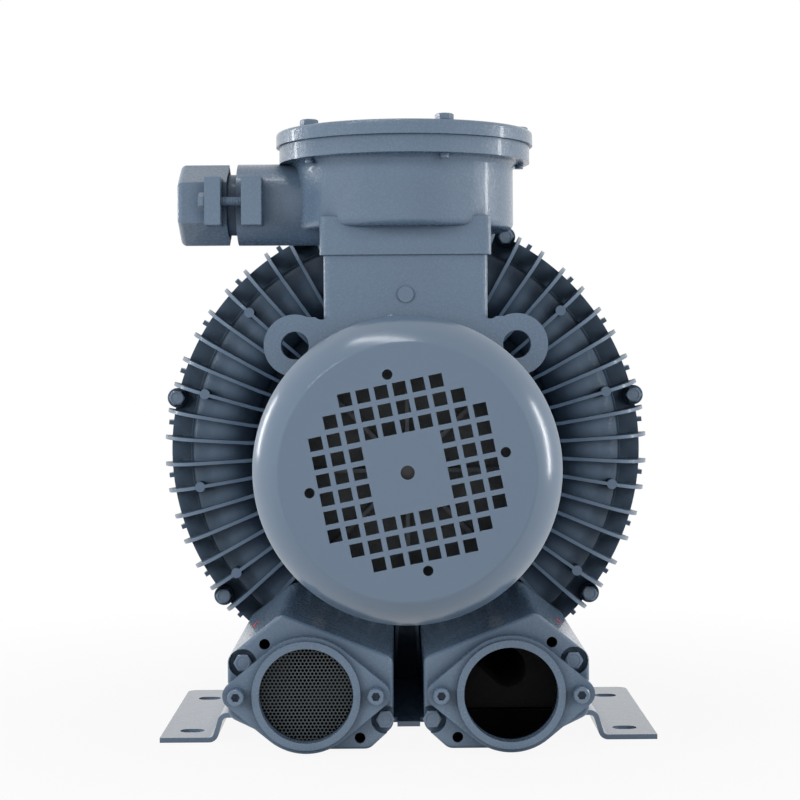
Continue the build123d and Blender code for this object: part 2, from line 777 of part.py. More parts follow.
with BuildPart() as motor_frame:
    with BuildSketch(facing_front(frame_back)):
        Circle(frame_radius)
        with Locations(*[polar(frame_boss_pitch, angle) for angle in frame_boss_angles]):
            Circle(frame_boss_radius)
    extrude(amount=frame_back - frame_front)
    add(fin_copies(frame_rib.part, frame_rib_count, 180 / frame_rib_count))
    with BuildSketch(facing_front(pedestal_back, z=0)):
        span(-pedestal_width / 2, axis_height, pedestal_width / 2, pedestal_top)
    extrude(amount=pedestal_back - pedestal_front)
    pedestal_corners = motor_frame.edges().filter_by(Axis.Z).group_by(Axis.Y)[0]
    fillet(pedestal_corners, pedestal_corner_radius)
    with BuildSketch(facing_front(pedestal_front + ear_thickness)):
        with Locations((-ear_offset_x, ear_offset_z), (ear_offset_x, ear_offset_z)):
            Circle(ear_radius)
        span(-ear_offset_x, ear_web_bottom, ear_offset_x, ear_web_top)
        with Locations(*[(side * ear_notch_x, ear_notch_z) for side in (-1, 1)]):
            Circle(ear_notch_radius, mode=Mode.SUBTRACT)
        with Locations((-ear_offset_x, ear_offset_z), (ear_offset_x, ear_offset_z)):
            Circle(ear_hole_radius, mode=Mode.SUBTRACT)
    extrude(amount=ear_thickness)
    with BuildSketch(Plane.XY.offset(pedestal_top)):
        span(-pedestal_width / 2 + pedestal_wall, pedestal_front + pedestal_wall,
             pedestal_width / 2 - pedestal_wall, pedestal_back - pedestal_wall)
    extrude(amount=-(pedestal_top - pedestal_cavity_bottom), mode=Mode.SUBTRACT)
    with BuildSketch(Plane.XY.offset(pedestal_top)):
        span(-duct_width / 2, duct_front, duct_width / 2, duct_front + duct_depth)
    extrude(amount=-(pedestal_top - axis_height), mode=Mode.SUBTRACT)
    with BuildSketch(section_plane):
        span(0, frame_front, frame_bore_radius, frame_back)
    revolve(axis=shaft_axis, mode=Mode.SUBTRACT)
    for face_y, depth in ((frame_back, -shield_thread_depth), (frame_front, shield_thread_depth)):
        with BuildSketch(Plane.XZ.offset(-face_y)):
            with Locations((0, axis_height)):
                with Locations(*[polar(frame_boss_pitch, angle) for angle in frame_boss_angles]):
                    Circle(m8_radius + press_clearance)
        extrude(amount=-depth, mode=Mode.SUBTRACT)
    with BuildSketch(facing_front(pedestal_front, z=plug_height)):
        Circle(plug_radius - plug_lip)
    extrude(amount=-plug_depth, mode=Mode.SUBTRACT)
    with BuildSketch(Plane.XY.offset(pedestal_top)):
        with Locations((0, box_center_y)):
            with GridLocations(2 * neck_screw_offset_x, 2 * neck_screw_offset_y, 2, 2):
                Circle(m8_radius + press_clearance)
    extrude(amount=-neck_thread_depth, mode=Mode.SUBTRACT)
save(motor_frame, "motor_frame")

with BuildPart() as pedestal_plug:
    with BuildSketch(facing_front(pedestal_front, z=plug_height)):
        Circle(plug_radius)
    extrude(amount=plug_lip)
    with BuildSketch(facing_front(pedestal_front, z=plug_height)):
        Circle(plug_radius - plug_lip - press_clearance)
    extrude(amount=-plug_depth + joint_gap)
save(pedestal_plug, "pedestal_plug")

with BuildPart() as stator_core:
    with BuildSketch(section_plane):
        span(stator_bore_radius, stator_front, frame_bore_radius - press_clearance, stator_back)
    revolve(axis=shaft_axis)
save(stator_core, "stator_core")

with BuildPart() as stator_windings:
    with BuildSketch(section_plane) as winding_section:
        span(winding_inner_radius, stator_front - winding_overhang, winding_outer_radius, stator_front)
        span(winding_inner_radius, stator_back, winding_outer_radius, stator_back + winding_overhang)
        chamfer(winding_section.vertices(), winding_bevel)
    revolve(axis=shaft_axis)
save(stator_windings, "stator_windings")


# End shields
cowl_screw_planes = [
    Plane(
        (cowl_radius * polar(1, angle)[0], cowl_screw_y, axis_height + cowl_radius * polar(1, angle)[1]),
        x_dir=(0, 1, 0), z_dir=(polar(1, angle)[0], 0, polar(1, angle)[1]),
    )
    for angle in [cowl_screw_angle + quarter_turn * quarter for quarter in range(4)]
]
shield_flange_screws = around_shaft(drive_shield_front, drive_flange_pitch, drive_flange_angles)
shield_boss_screws = around_shaft(fan_shield_front, frame_boss_pitch, frame_boss_angles)
with BuildPart() as drive_end_shield:
    with BuildSketch(section_plane):
        span(drive_seat_radius + loose_clearance, drive_bearing_back, frame_radius, front_wall_face)
        span(frame_bore_radius - shield_spigot_wall, frame_back, frame_radius, front_wall_face)
        span(frame_bore_radius - shield_spigot_wall, frame_back - shield_spigot,
             frame_bore_radius - press_clearance, front_wall_face)
        span(drive_bearing_radius, drive_bearing_front - loose_clearance,
             drive_bearing_radius + bearing_hub_wall, front_wall_face)
        span(frame_bore_radius, drive_shield_front, drive_shield_flange_radius, front_wall_face)
    revolve(axis=shaft_axis)
    with BuildSketch(facing_front(front_wall_face)):
        with Locations(*[polar(frame_boss_pitch, angle) for angle in frame_boss_angles]):
            Circle(frame_boss_radius)
    extrude(amount=front_wall_face - frame_back)
    with BuildSketch(facing_front(front_wall_face)):
        with Locations(*[polar(frame_boss_pitch, angle) for angle in frame_boss_angles]):
            Circle(m8_cap_radius + screw_hole_play)
    extrude(amount=m8_cap_height + screw_hole_play, mode=Mode.SUBTRACT)
    with BuildSketch(facing_front(front_wall_face)):
        with Locations(*[polar(frame_boss_pitch, angle) for angle in frame_boss_angles]):
            Circle(m8_radius + screw_hole_play)
        with Locations(*[polar(drive_flange_pitch, angle) for angle in drive_flange_angles]):
            Circle(m8_radius + screw_hole_play)
    extrude(amount=front_wall_face - frame_back, mode=Mode.SUBTRACT)
save(drive_end_shield, "drive_end_shield")

with BuildPart() as fan_end_shield:
    with BuildSketch(facing_front(frame_front)):
        Circle(frame_radius)
        with Locations(*[polar(frame_boss_pitch, angle) for angle in frame_boss_angles]):
            Circle(frame_boss_radius)
    extrude(amount=frame_front - fan_shield_front)
    with BuildSketch(facing_front(frame_front)):
        for quarter in range(4):
            with Locations(Rotation(0, 0, cowl_screw_angle + quarter_turn * quarter)):
                span(0, -cowl_lug_half_width, fan_shield_radius, cowl_lug_half_width)
        Circle(fan_shield_radius, mode=Mode.INTERSECT)
    extrude(amount=frame_front - fan_shield_front)
    with BuildSketch(section_plane):
        span(0, fan_hub_front, fan_bearing_radius + bearing_hub_wall, frame_front)
        span(frame_bore_radius - shield_spigot_wall, frame_front, frame_bore_radius - press_clearance,
             frame_front + shield_spigot)
    revolve(axis=shaft_axis)
    with BuildSketch(section_plane):
        span(0, fan_hub_front, fan_seat_radius + loose_clearance, frame_front)
        span(0, fan_bearing_front - wave_spring_thickness, fan_bearing_radius, frame_front)
    revolve(axis=shaft_axis, mode=Mode.SUBTRACT)
    with BuildSketch(facing_front(frame_front)):
        with Locations(*[polar(frame_boss_pitch, angle) for angle in frame_boss_angles]):
            Circle(m8_radius + screw_hole_play)
    extrude(amount=frame_front - fan_shield_front, mode=Mode.SUBTRACT)
    for plane in cowl_screw_planes:
        with BuildSketch(plane):
            Circle(m5_radius + press_clearance)
        extrude(amount=-cowl_screw_length, mode=Mode.SUBTRACT)
save(fan_end_shield, "fan_end_shield")

with BuildPart() as shield_flange_bolts:
    add(placed(hex_screw(m8_flats, m8_head, m8_radius, drive_shield_flange + housing_disc - joint_gap),
               shield_flange_screws))
save(shield_flange_bolts, "shield_flange_screws")

drive_frame_screw_planes = [
    Plane((spot.origin.X, front_wall_face - m8_cap_height - screw_hole_play, spot.origin.Z),
          x_dir=(-1, 0, 0), z_dir=(0, 1, 0))
    for spot in around_shaft(frame_back, frame_boss_pitch, frame_boss_angles)
]
drive_frame_screw_length = front_wall_face - m8_cap_height - screw_hole_play - frame_back + m8_thread_reach
with BuildPart() as end_shield_screws:
    add(placed(cap_screw(m8_cap_radius, m8_cap_height, m8_socket_flats, m8_radius, drive_frame_screw_length),
               drive_frame_screw_planes))
    fan_frame_screw_length = frame_front - fan_shield_front + m8_thread_reach
    add(placed(cap_screw(m8_cap_radius, m8_cap_height, m8_socket_flats, m8_radius, fan_frame_screw_length),
               shield_boss_screws))
save(end_shield_screws, "end_shield_screws")


# Cooling fan, its clip and the cowl over it
with BuildPart() as fan_blade:
    with BuildSketch(section_plane):
        with BuildLine():
            Polyline(
                (fan_hub_radius - fan_plate, fan_back), (fan_radius, fan_back),
                (fan_radius, fan_blade_tip_front),
                (fan_hub_radius + fan_plate, fan_blade_front), (fan_hub_radius - fan_plate, fan_blade_front),
                close=True,
            )
        make_face()
    extrude(amount=fan_blade_thickness / 2, both=True)

with BuildPart() as cooling_fan:
    with BuildSketch(section_plane):
        span(fan_spigot_radius + press_clearance, fan_front, fan_hub_radius, fan_back)
        span(fan_spigot_radius + press_clearance, fan_back - fan_plate, fan_radius, fan_back)
    revolve(axis=shaft_axis)
    add(fin_copies(fan_blade.part, fan_blade_count, 0))
save(cooling_fan, "cooling_fan")

with BuildPart() as fan_clip:
    with BuildSketch(facing_front(fan_front)):
        Circle(clip_outer_radius)
        Circle(clip_inner_radius, mode=Mode.SUBTRACT)
        span(-clip_mouth / 2, 0, clip_mouth / 2, clip_outer_radius, mode=Mode.SUBTRACT)
    extrude(amount=clip_thickness)
save(fan_clip, "fan_clip")

# Grille cells lie on a turned square grid with stepped corners and a blank middle
grille_cells = [
    (grille_pitch * column, grille_pitch * row)
    for row in [half_step - grille_half for half_step in range(grille_size)]
    for column in [half_step - grille_half for half_step in range(grille_size)]
    if abs(column) <= grille_rows[int(grille_half - abs(row))]
    and max(abs(row), abs(column)) > grille_blank
]


def on_cowl_shoulder(corner):
    """True for the two corners of the cowl's outline where the sloping shoulder starts and ends."""
    return corner.X >= cowl_face_radius and corner.Y <= cowl_shoulder_back


with BuildPart() as fan_cowl:
    with BuildSketch(section_plane) as cowl_section:
        with BuildLine():
            Polyline(
                (cowl_radius, cowl_shoulder_back), (cowl_radius, cowl_back), (0, cowl_back),
                (0, cowl_front), (cowl_face_radius, cowl_front),
            )
            ThreePointArc(
                (cowl_face_radius, cowl_front),
                ((cowl_face_radius + cowl_radius) / 2 + cowl_shoulder_bulge,
                 (cowl_front + cowl_shoulder_back) / 2 - cowl_shoulder_bulge),
                (cowl_radius, cowl_shoulder_back),
            )
        make_face()
        shoulder_ends = [corner for corner in cowl_section.vertices() if on_cowl_shoulder(corner)]
        fillet(shoulder_ends, cowl_edge_radius)
    revolve(axis=shaft_axis)
    offset(amount=-cowl_sheet, openings=fan_cowl.faces().sort_by(Axis.Y)[-1])
    with BuildSketch(facing_front(cowl_front + cowl_sheet)):
        with Locations(Rotation(0, 0, cowl_turn)):
            with Locations(*grille_cells):
                Rectangle(grille_square, grille_square)
            with PolarLocations(cowl_hole_pitch, 4, start_angle=0):
                Circle(cowl_hole_radius)
        Circle(cowl_center_hole_radius)
    extrude(amount=2 * cowl_sheet, both=True, mode=Mode.SUBTRACT)
    for plane in cowl_screw_planes:
        with BuildSketch(plane):
            Circle(m5_radius + screw_hole_play)
        extrude(amount=-2 * cowl_sheet, mode=Mode.SUBTRACT)
save(fan_cowl, "fan_cowl")

with BuildPart() as cowl_screws:
    add(placed(cap_screw(m5_cap_radius, m5_cap_height, m5_radius, m5_radius,
                         cowl_screw_length - loose_clearance), cowl_screw_planes))
save(cowl_screws, "cowl_screws")


# Terminal box: square neck under a round flanged body
def facing_left(x):
    """A plane on the gland axis whose local x is -Y and local y is Z, extruding towards -X."""
    return Plane((x, box_center_y, gland_height), x_dir=(0, -1, 0), z_dir=(-1, 0, 0))


def level(z):
    """A horizontal plane centred on the terminal box."""
    return Plane((0, box_center_y, z))


def clamp_ears():
    """The two blocks that carry the clamp bolts, in front of and behind the gland axis."""
    outer = gland_boss_radius + clamp_ear_depth
    for direction in (-1, 1):
        span(direction * (gland_neck_radius - clamp_ear_sink), -clamp_ear_height / 2,
             direction * outer, clamp_ear_height / 2)


clamp_bolt_offset = gland_boss_radius + clamp_ear_depth / 2
lid_screw_spots = [
    (lid_screw_pitch * math.sin(math.radians(angle)), -lid_screw_pitch * math.cos(math.radians(angle)))
    for angle in lid_screw_angles
]

box_section = Plane((0, box_center_y, 0), x_dir=(1, 0, 0), z_dir=(0, -1, 0))
box_axis = Axis((0, box_center_y, 0), (0, 0, 1))
with BuildPart() as terminal_box:
    with BuildSketch(level(pedestal_top)):
        RectangleRounded(neck_width, 2 * neck_half_depth, pedestal_corner_radius)
    extrude(amount=box_bottom + box_floor - pedestal_top)
    with BuildSketch(box_section):
        with BuildLine():
            FilletPolyline(
                (0, box_bottom), (box_radius, box_bottom), (box_radius, flange_bottom),
                (flange_radius, flange_bottom), radius=box_bottom_rounding,
            )
            Polyline(
                (flange_radius, flange_bottom), (flange_radius, flange_top), (0, flange_top), (0, box_bottom),
            )
        make_face()
    revolve(axis=box_axis)
    with BuildSketch(facing_left(0)):
        Circle(gland_boss_radius)
    extrude(amount=-gland_boss_end)
    with BuildSketch(facing_left(boss_ear_inner)):
        clamp_ears()
    extrude(amount=boss_ear_inner - boss_ear_outer)
    with BuildSketch(level(pedestal_top + neck_floor)):
        RectangleRounded(neck_width - 2 * neck_wall, 2 * (neck_half_depth - neck_wall),
                         pedestal_corner_radius)
    extrude(amount=box_bottom + box_floor - pedestal_top - neck_floor - box_shoulder_wall,
            mode=Mode.SUBTRACT)
    with BuildSketch(level(pedestal_top + neck_floor)):
        Circle(box_radius - box_wall)
        Rectangle(neck_width - 2 * neck_wall, 2 * (neck_half_depth - neck_wall), mode=Mode.INTERSECT)
    extrude(amount=flange_top - pedestal_top, mode=Mode.SUBTRACT)
    with BuildSketch(level(box_bottom + box_floor)):
        Circle(box_radius - box_wall)
    extrude(amount=flange_top - box_bottom, mode=Mode.SUBTRACT)
    with BuildSketch(level(pedestal_top)):
        Rectangle(neck_opening, neck_opening)
        with GridLocations(2 * neck_screw_offset_x, 2 * neck_screw_offset_y, 2, 2):
            Circle(m8_radius + screw_hole_play)
    extrude(amount=neck_floor, mode=Mode.SUBTRACT)
    with BuildSketch(level(flange_top)):
        Circle(seal_ring_radius + seal_ring_width)
        Circle(seal_ring_radius, mode=Mode.SUBTRACT)
    extrude(amount=-seal_ring_depth, mode=Mode.SUBTRACT)
    with BuildSketch(level(flange_top)):
        with Locations(*lid_screw_spots):
            Circle(m8_radius + press_clearance)
    extrude(amount=flange_bottom - flange_top - box_bottom_rounding, mode=Mode.SUBTRACT)
    with BuildSketch(facing_left(-box_radius + 2 * box_wall)):
        Circle(gland_thread_radius)
    extrude(amount=-gland_boss_end, mode=Mode.SUBTRACT)
    with BuildSketch(facing_left(boss_ear_inner)):
        with Locations((-clamp_bolt_offset, 0), (clamp_bolt_offset, 0)):
            Circle(clamp_bolt_radius + press_clearance)
    extrude(amount=boss_ear_inner - boss_ear_outer, mode=Mode.SUBTRACT)
save(terminal_box, "terminal_box")

with BuildPart() as box_lid_seal:
    with BuildSketch(level(flange_top)):
        Circle(seal_ring_radius + seal_ring_width - joint_gap)
        Circle(seal_ring_radius + joint_gap, mode=Mode.SUBTRACT)
    extrude(amount=-seal_ring_depth)
save(box_lid_seal, "box_lid_seal")

with BuildPart() as box_lid:
    with BuildSketch(level(flange_top)):
        Circle(lid_radius)
    extrude(amount=lid_top - flange_top)
    fillet(box_lid.edges().sort_by(Axis.Z)[-1], lid_edge_radius)
    with BuildSketch(box_section):
        with BuildLine():
            dome = TangentArc((0, lid_top + lid_dome_height), (lid_dome_radius, lid_top), tangent=(1, 0))
            Polyline(dome @ 1, (0, lid_top), dome @ 0)
        make_face()
    revolve(axis=box_axis)
    with BuildSketch(level(flange_top)):
        Circle(seal_ring_radius - box_wall)
    extrude(amount=lid_inner_hollow, mode=Mode.SUBTRACT)
    with BuildSketch(level(flange_top)):
        with Locations(*lid_screw_spots):
            Circle(m8_radius + screw_hole_play)
    extrude(amount=lid_top - flange_top, mode=Mode.SUBTRACT)
save(box_lid, "box_lid")

lid_screw_planes = [Plane((x, box_center_y + y, lid_top)) for x, y in lid_screw_spots]
with BuildPart() as lid_screws:
    add(placed(hex_screw(m8_flats, m8_head, m8_radius, lid_top - flange_bottom + lid_screw_overrun),
               lid_screw_planes))
save(lid_screws, "lid_screws")

neck_screw_planes = [
    Plane((x * neck_screw_offset_x, box_center_y + y * neck_screw_offset_y, pedestal_top + neck_floor))
    for x in (-1, 1)
    for y in (-1, 1)
]
with BuildPart() as neck_screws:
    add(placed(cap_screw(m8_cap_radius, m8_cap_height, m8_socket_flats, m8_radius,
                         neck_floor + neck_thread_depth - loose_clearance), neck_screw_planes))
save(neck_screws, "neck_screws")

with BuildPart() as terminal_block:
    with BuildSketch(level(pedestal_top + neck_floor)):
        Rectangle(block_width, block_depth)
        with GridLocations(block_width - wire_notch, 0, 2, 1):
            Rectangle(wire_notch, wire_notch, mode=Mode.SUBTRACT)
    extrude(amount=block_height)
    with BuildSketch(level(pedestal_top + neck_floor + block_height)):
        with GridLocations(stud_spacing_x, stud_spacing_y, 3, 2):
            Circle(stud_radius)
    extrude(amount=-block_height / 2, mode=Mode.SUBTRACT)
save(terminal_block, "terminal_block")

with BuildPart() as terminal_studs:
    with BuildSketch(level(pedestal_top + neck_floor + block_height / 2)):
        with GridLocations(stud_spacing_x, stud_spacing_y, 3, 2):
            Circle(stud_radius - press_clearance)
    extrude(amount=block_height / 2 + stud_length)
    with BuildSketch(level(pedestal_top + neck_floor + block_height)):
        with GridLocations(stud_spacing_x, stud_spacing_y, 3, 2):
            RegularPolygon(stud_nut_flats / 2, 6, major_radius=False)
    extrude(amount=stud_nut_height)
save(terminal_studs, "terminal_studs")


# Cable gland: sleeve in the box boss, rubber seal, and a hex cap held by two clamp bolts
gland_sleeve_end = gland_cap_end + gland_end_wall + gland_seal_length
with BuildPart() as gland_sleeve:
    with BuildSketch(facing_left(gland_sleeve_inner)):
        Circle(gland_thread_radius - press_clearance)
    extrude(amount=gland_sleeve_inner - gland_sleeve_end)
    with BuildSketch(facing_left(gland_boss_end)):
        Circle(gland_neck_radius)
    extrude(amount=gland_boss_end - gland_cap_front - joint_gap)
    with BuildSketch(facing_left(gland_sleeve_inner)):
        Circle(gland_bore_radius)
    extrude(amount=gland_sleeve_inner - gland_sleeve_end, mode=Mode.SUBTRACT)
save(gland_sleeve, "gland_sleeve")

with BuildPart() as gland_seal:
    with BuildSketch(facing_left(gland_sleeve_end)):
        Circle(gland_thread_radius - press_clearance)
        Circle(cable_radius, mode=Mode.SUBTRACT)
    extrude(amount=gland_seal_length)
save(gland_seal, "gland_seal")

with BuildPart() as gland_cap:
    with BuildSketch(facing_left(gland_cap_front)):
        RegularPolygon(gland_cap_corner_radius, 6, rotation=30)
    extrude(amount=gland_cap_front - gland_cap_end)
    fillet(gland_cap.faces().sort_by(Axis.X)[0].edges(), gland_cap_rounding)
    with BuildSketch(facing_left(cap_ear_inner)):
        clamp_ears()
    extrude(amount=cap_ear_inner - cap_ear_outer)
    with BuildSketch(facing_left(gland_cap_front)):
        Circle(gland_thread_radius)
    extrude(amount=gland_cap_front - gland_cap_end - gland_end_wall, mode=Mode.SUBTRACT)
    with BuildSketch(facing_left(gland_cap_front)):
        Circle(cable_radius + cable_play)
    extrude(amount=gland_cap_front - gland_cap_end, mode=Mode.SUBTRACT)
    with BuildSketch(facing_left(cap_ear_inner)):
        with Locations((-clamp_bolt_offset, 0), (clamp_bolt_offset, 0)):
            Circle(clamp_bolt_radius + screw_hole_play)
    extrude(amount=cap_ear_inner - cap_ear_outer, mode=Mode.SUBTRACT)
save(gland_cap, "gland_cap")

clamp_bolt_planes = [
    Plane((cap_ear_outer, box_center_y + offset_y, gland_height), x_dir=(0, -1, 0), z_dir=(-1, 0, 0))
    for offset_y in (-clamp_bolt_offset, clamp_bolt_offset)
]
with BuildPart() as gland_bolts:
    add(placed(hex_screw(m8_flats, m8_head, clamp_bolt_radius, boss_ear_inner - cap_ear_outer),
               clamp_bolt_planes))
save(gland_bolts, "gland_bolts")


# Silencers: a cast box per port with foam inside, a dished cover and a rhombic pipe flange
def spots_on(side, spots):
    """Locations of mirrored points for one side."""
    return Locations(*[(side * x, z) for x, z in spots])


def make_silencer(side, name):
    """All the pieces of one silencer; side is -1 on the left and 1 on the right."""
    outline = silencer_outline(side, foot_step)
    interior = offset(outline, -body_wall)
    port_center = (side * port_x, port_height)
    window_center = (side * window_x, window_z)
    column_spots = spots_on(side, cover_bolt_spots)

    with BuildPart() as body:
        with BuildSketch(facing_front(body_back, z=0)):
            add(outline)
        extrude(amount=body_back - body_front)
        with BuildSketch(facing_front(body_back - body_wall, z=0)):
            add(interior)
        extrude(amount=body_back - body_wall - body_front, mode=Mode.SUBTRACT)
        with BuildSketch(facing_front(body_front + body_column_length, z=0)):
            with column_spots:
                Circle(cover_column_radius)
            add(outline, mode=Mode.INTERSECT)
        extrude(amount=body_column_length)
        with BuildSketch(facing_front(body_back, z=0)):
            with Locations(window_center):
                Circle(window_radius)
            with spots_on(side, body_screw_spots):
                Circle(m8_radius + screw_hole_play)
        extrude(amount=body_wall, mode=Mode.SUBTRACT)
        with BuildSketch(facing_front(body_front, z=0)):
            with column_spots:
                Circle(m8_radius + press_clearance)
        extrude(amount=-body_column_length + body_wall, mode=Mode.SUBTRACT)
    save(body, f"{name}_silencer_body")

    with BuildPart() as foam:
        with BuildSketch(facing_front(foam_back, z=0)):
            add(offset(outline, -body_wall - foam_gap))
        extrude(amount=foam_back - foam_front)
        with BuildSketch(facing_front(foam_back, z=0)) as passage:
            with Locations(window_center, port_passage_center(side)):
                Circle(window_radius)
            make_hull(passage.edges())
        extrude(amount=foam_back - foam_front, mode=Mode.SUBTRACT)
        with BuildSketch(facing_front(foam_front, z=0)):
            with column_spots:
                Circle(cover_column_radius + foam_gap)
        extrude(amount=foam_front - body_front - body_column_length - foam_gap, mode=Mode.SUBTRACT)
    save(foam, f"{name}_silencer_foam")

    with BuildPart() as gasket:
        with BuildSketch(facing_front(body_front, z=0)):
            add(outline)
            add(interior, mode=Mode.SUBTRACT)
            with column_spots:
                Circle(cover_column_radius)
            add(outline, mode=Mode.INTERSECT)
            with column_spots:
                Circle(m8_radius + screw_hole_play, mode=Mode.SUBTRACT)
        extrude(amount=gasket_thickness)
    save(gasket, f"{name}_cover_gasket")

    with BuildPart() as rear_gasket:
        with BuildSketch(facing_front(chest_front, z=0)):
            add(outline)
            with Locations(window_center):
                Circle(window_radius, mode=Mode.SUBTRACT)
            with spots_on(side, body_screw_spots):
                Circle(m8_radius + screw_hole_play, mode=Mode.SUBTRACT)
        extrude(amount=chest_front - body_back)
    save(rear_gasket, f"{name}_port_gasket")

    full_outline = silencer_outline(side, 0)
    with BuildPart() as cover:
        with BuildSketch(facing_front(cover_back, z=0)):
            add(full_outline)
        extrude(amount=cover_depth)
        front_edges = cover.faces().sort_by(Axis.Y)[0].edges()
        fillet(front_edges, cover_edge_radius)
        with BuildSketch(facing_front(cover_back - cover_back_wall, z=0)):
            add(offset(full_outline, -cover_wall))
        extrude(amount=cover_depth - cover_back_wall - cover_wall, mode=Mode.SUBTRACT)
        with BuildSketch(facing_front(cover_back, z=0)):
            add(interior)
        extrude(amount=cover_back_wall, mode=Mode.SUBTRACT)
        with BuildSketch(facing_front(cover_back, z=0)):
            with column_spots:
                Circle(cover_column_radius)
            with spots_on(side, cover_thread_spots):
                Circle(cover_boss_radius)
            add(full_outline, mode=Mode.INTERSECT)
        extrude(amount=cover_depth - cover_wall)
        with BuildSketch(facing_front(cover_front, z=0)):
            with column_spots:
                Circle(cover_pocket_radius)
        extrude(amount=-cover_wall, mode=Mode.SUBTRACT)
        with BuildSketch(facing_front(cover_front, z=0)):
            with column_spots:
                Circle(m8_radius + screw_hole_play)
        extrude(amount=-cover_depth, mode=Mode.SUBTRACT)
        with BuildSketch(facing_front(cover_front, z=0)):
            with spots_on(side, cover_thread_spots):
                Circle(cover_thread_radius)
            with Locations(port_center):
                with GridLocations(flange_screw_spacing, 0, 2, 1):
                    Circle(m8_radius + press_clearance)
        extrude(amount=-cover_wall, mode=Mode.SUBTRACT)
        with BuildSketch(facing_front(cover_front, z=0)):
            with Locations(port_center):
                Circle(port_bore_radius)
        extrude(amount=-cover_wall, mode=Mode.SUBTRACT)
        if side < 0:
            with BuildSketch(facing_front(cover_front, z=0)):
                with Locations(port_center):
                    Circle(screen_radius)
            extrude(amount=-screen_thickness, mode=Mode.SUBTRACT)
    save(cover, f"{name}_silencer_cover")

    with BuildPart() as flange:
        with BuildSketch(facing_front(cover_front, z=0)) as rhombus:
            with Locations(port_center):
                Circle(collar_radius + collar_foot)
                with GridLocations(flange_screw_spacing, 0, 2, 1):
                    Circle(flange_ear_radius)
            make_hull(rhombus.edges())
        extrude(amount=flange_plate)
        with BuildSketch(facing_front(cover_front, z=0)):
            with Locations(port_center):
                Circle(collar_radius)
        extrude(amount=cover_front - collar_front)
        with BuildSketch(facing_front(cover_front, z=0)):
            with Locations(port_center):
                Circle(port_bore_radius)
                with GridLocations(flange_screw_spacing, 0, 2, 1):
                    Circle(m8_radius + screw_hole_play)
        extrude(amount=cover_front - collar_front, mode=Mode.SUBTRACT)
    save(flange, f"{name}_port_flange")


def port_passage_center(side):
    """The front end of the foam passage, lifted so that foam stays under it."""
    return side * port_x, port_height + port_passage_lift


make_silencer(-1, "left")
make_silencer(1, "right")

with BuildPart() as inlet_screen:
    with BuildSketch(facing_front(cover_front + screen_thickness, z=0)):
        with Locations((-port_x, port_height)):
            Circle(screen_radius - loose_clearance / 2)
    extrude(amount=screen_thickness)
save(inlet_screen, "inlet_screen")


def mirrored_planes(make_plane, spots, y):
    """Planes at the same points of both silencers."""
    return [make_plane(y, x=side * x, z=z) for side in (-1, 1) for x, z in spots]


flange_screw_spots = [
    (port_x - flange_screw_spacing / 2, port_height), (port_x + flange_screw_spacing / 2, port_height)
]
with BuildPart() as port_flange_screws:
    add(placed(cap_screw(m8_cap_radius, m8_cap_height, m8_socket_flats, m8_radius, flange_plate + cover_wall),
               mirrored_planes(facing_front, flange_screw_spots, cover_front - flange_plate)))
save(port_flange_screws, "port_flange_screws")

with BuildPart() as cover_screws:
    add(placed(hex_screw(m8_flats, m8_head, m8_radius, cover_depth + gasket_thickness + cover_screw_reach),
               mirrored_planes(facing_front, cover_bolt_spots, cover_front + cover_wall)))
save(cover_screws, "cover_screws")

with BuildPart() as silencer_screws:
    add(placed(cap_screw(m8_cap_radius, m8_cap_height, m8_socket_flats, m8_radius,
                         body_wall + gasket_thickness + silencer_screw_reach),
               mirrored_planes(facing_front, body_screw_spots, body_back - body_wall)))
save(silencer_screws, "silencer_screws")

print(len(node_names), "pieces written")
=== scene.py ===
import bpy
import bmesh
import math
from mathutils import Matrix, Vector


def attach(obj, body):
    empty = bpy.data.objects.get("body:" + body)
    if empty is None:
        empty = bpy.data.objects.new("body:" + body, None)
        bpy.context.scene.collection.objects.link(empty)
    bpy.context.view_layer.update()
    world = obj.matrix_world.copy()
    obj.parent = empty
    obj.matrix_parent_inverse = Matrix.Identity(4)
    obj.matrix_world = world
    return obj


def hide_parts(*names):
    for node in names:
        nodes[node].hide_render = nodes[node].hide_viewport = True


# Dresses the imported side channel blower: enamel, metal, rubber, mesh screen and small trim.

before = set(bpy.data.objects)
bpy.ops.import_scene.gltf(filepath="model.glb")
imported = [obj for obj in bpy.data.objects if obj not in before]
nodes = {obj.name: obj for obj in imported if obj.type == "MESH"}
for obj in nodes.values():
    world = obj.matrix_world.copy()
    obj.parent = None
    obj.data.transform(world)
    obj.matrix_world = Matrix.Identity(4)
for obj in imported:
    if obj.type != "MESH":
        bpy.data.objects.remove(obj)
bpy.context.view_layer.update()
scene = bpy.context.scene
print("frame loaded with", len(nodes), "nodes")

blueGrey = (0.142, 0.210, 0.300)


def newGroup(name, inputs, outputs):
    # inputs and outputs are (name, socket type, default)
    group = bpy.data.node_groups.new(name, "ShaderNodeTree")
    for label, kind, value in inputs:
        socket = group.interface.new_socket(label, in_out="INPUT", socket_type=kind)
        if value is not None:
            socket.default_value = value
    for label, kind in outputs:
        group.interface.new_socket(label, in_out="OUTPUT", socket_type=kind)
    start = group.nodes.new("NodeGroupInput")
    end = group.nodes.new("NodeGroupOutput")
    return group, start, end


def addNode(tree, kind, settings=None, links=None):
    node = tree.nodes.new(kind)
    for key, value in (settings or {}).items():
        if isinstance(key, str) and hasattr(node, key):
            setattr(node, key, value)
        else:
            node.inputs[key].default_value = value
    for key, source in (links or {}).items():
        tree.links.new(source, node.inputs[key])
    return node


grainMix = {"peelShare": 0.35, "swellShare": 0.4, "swellScale": 45.0}


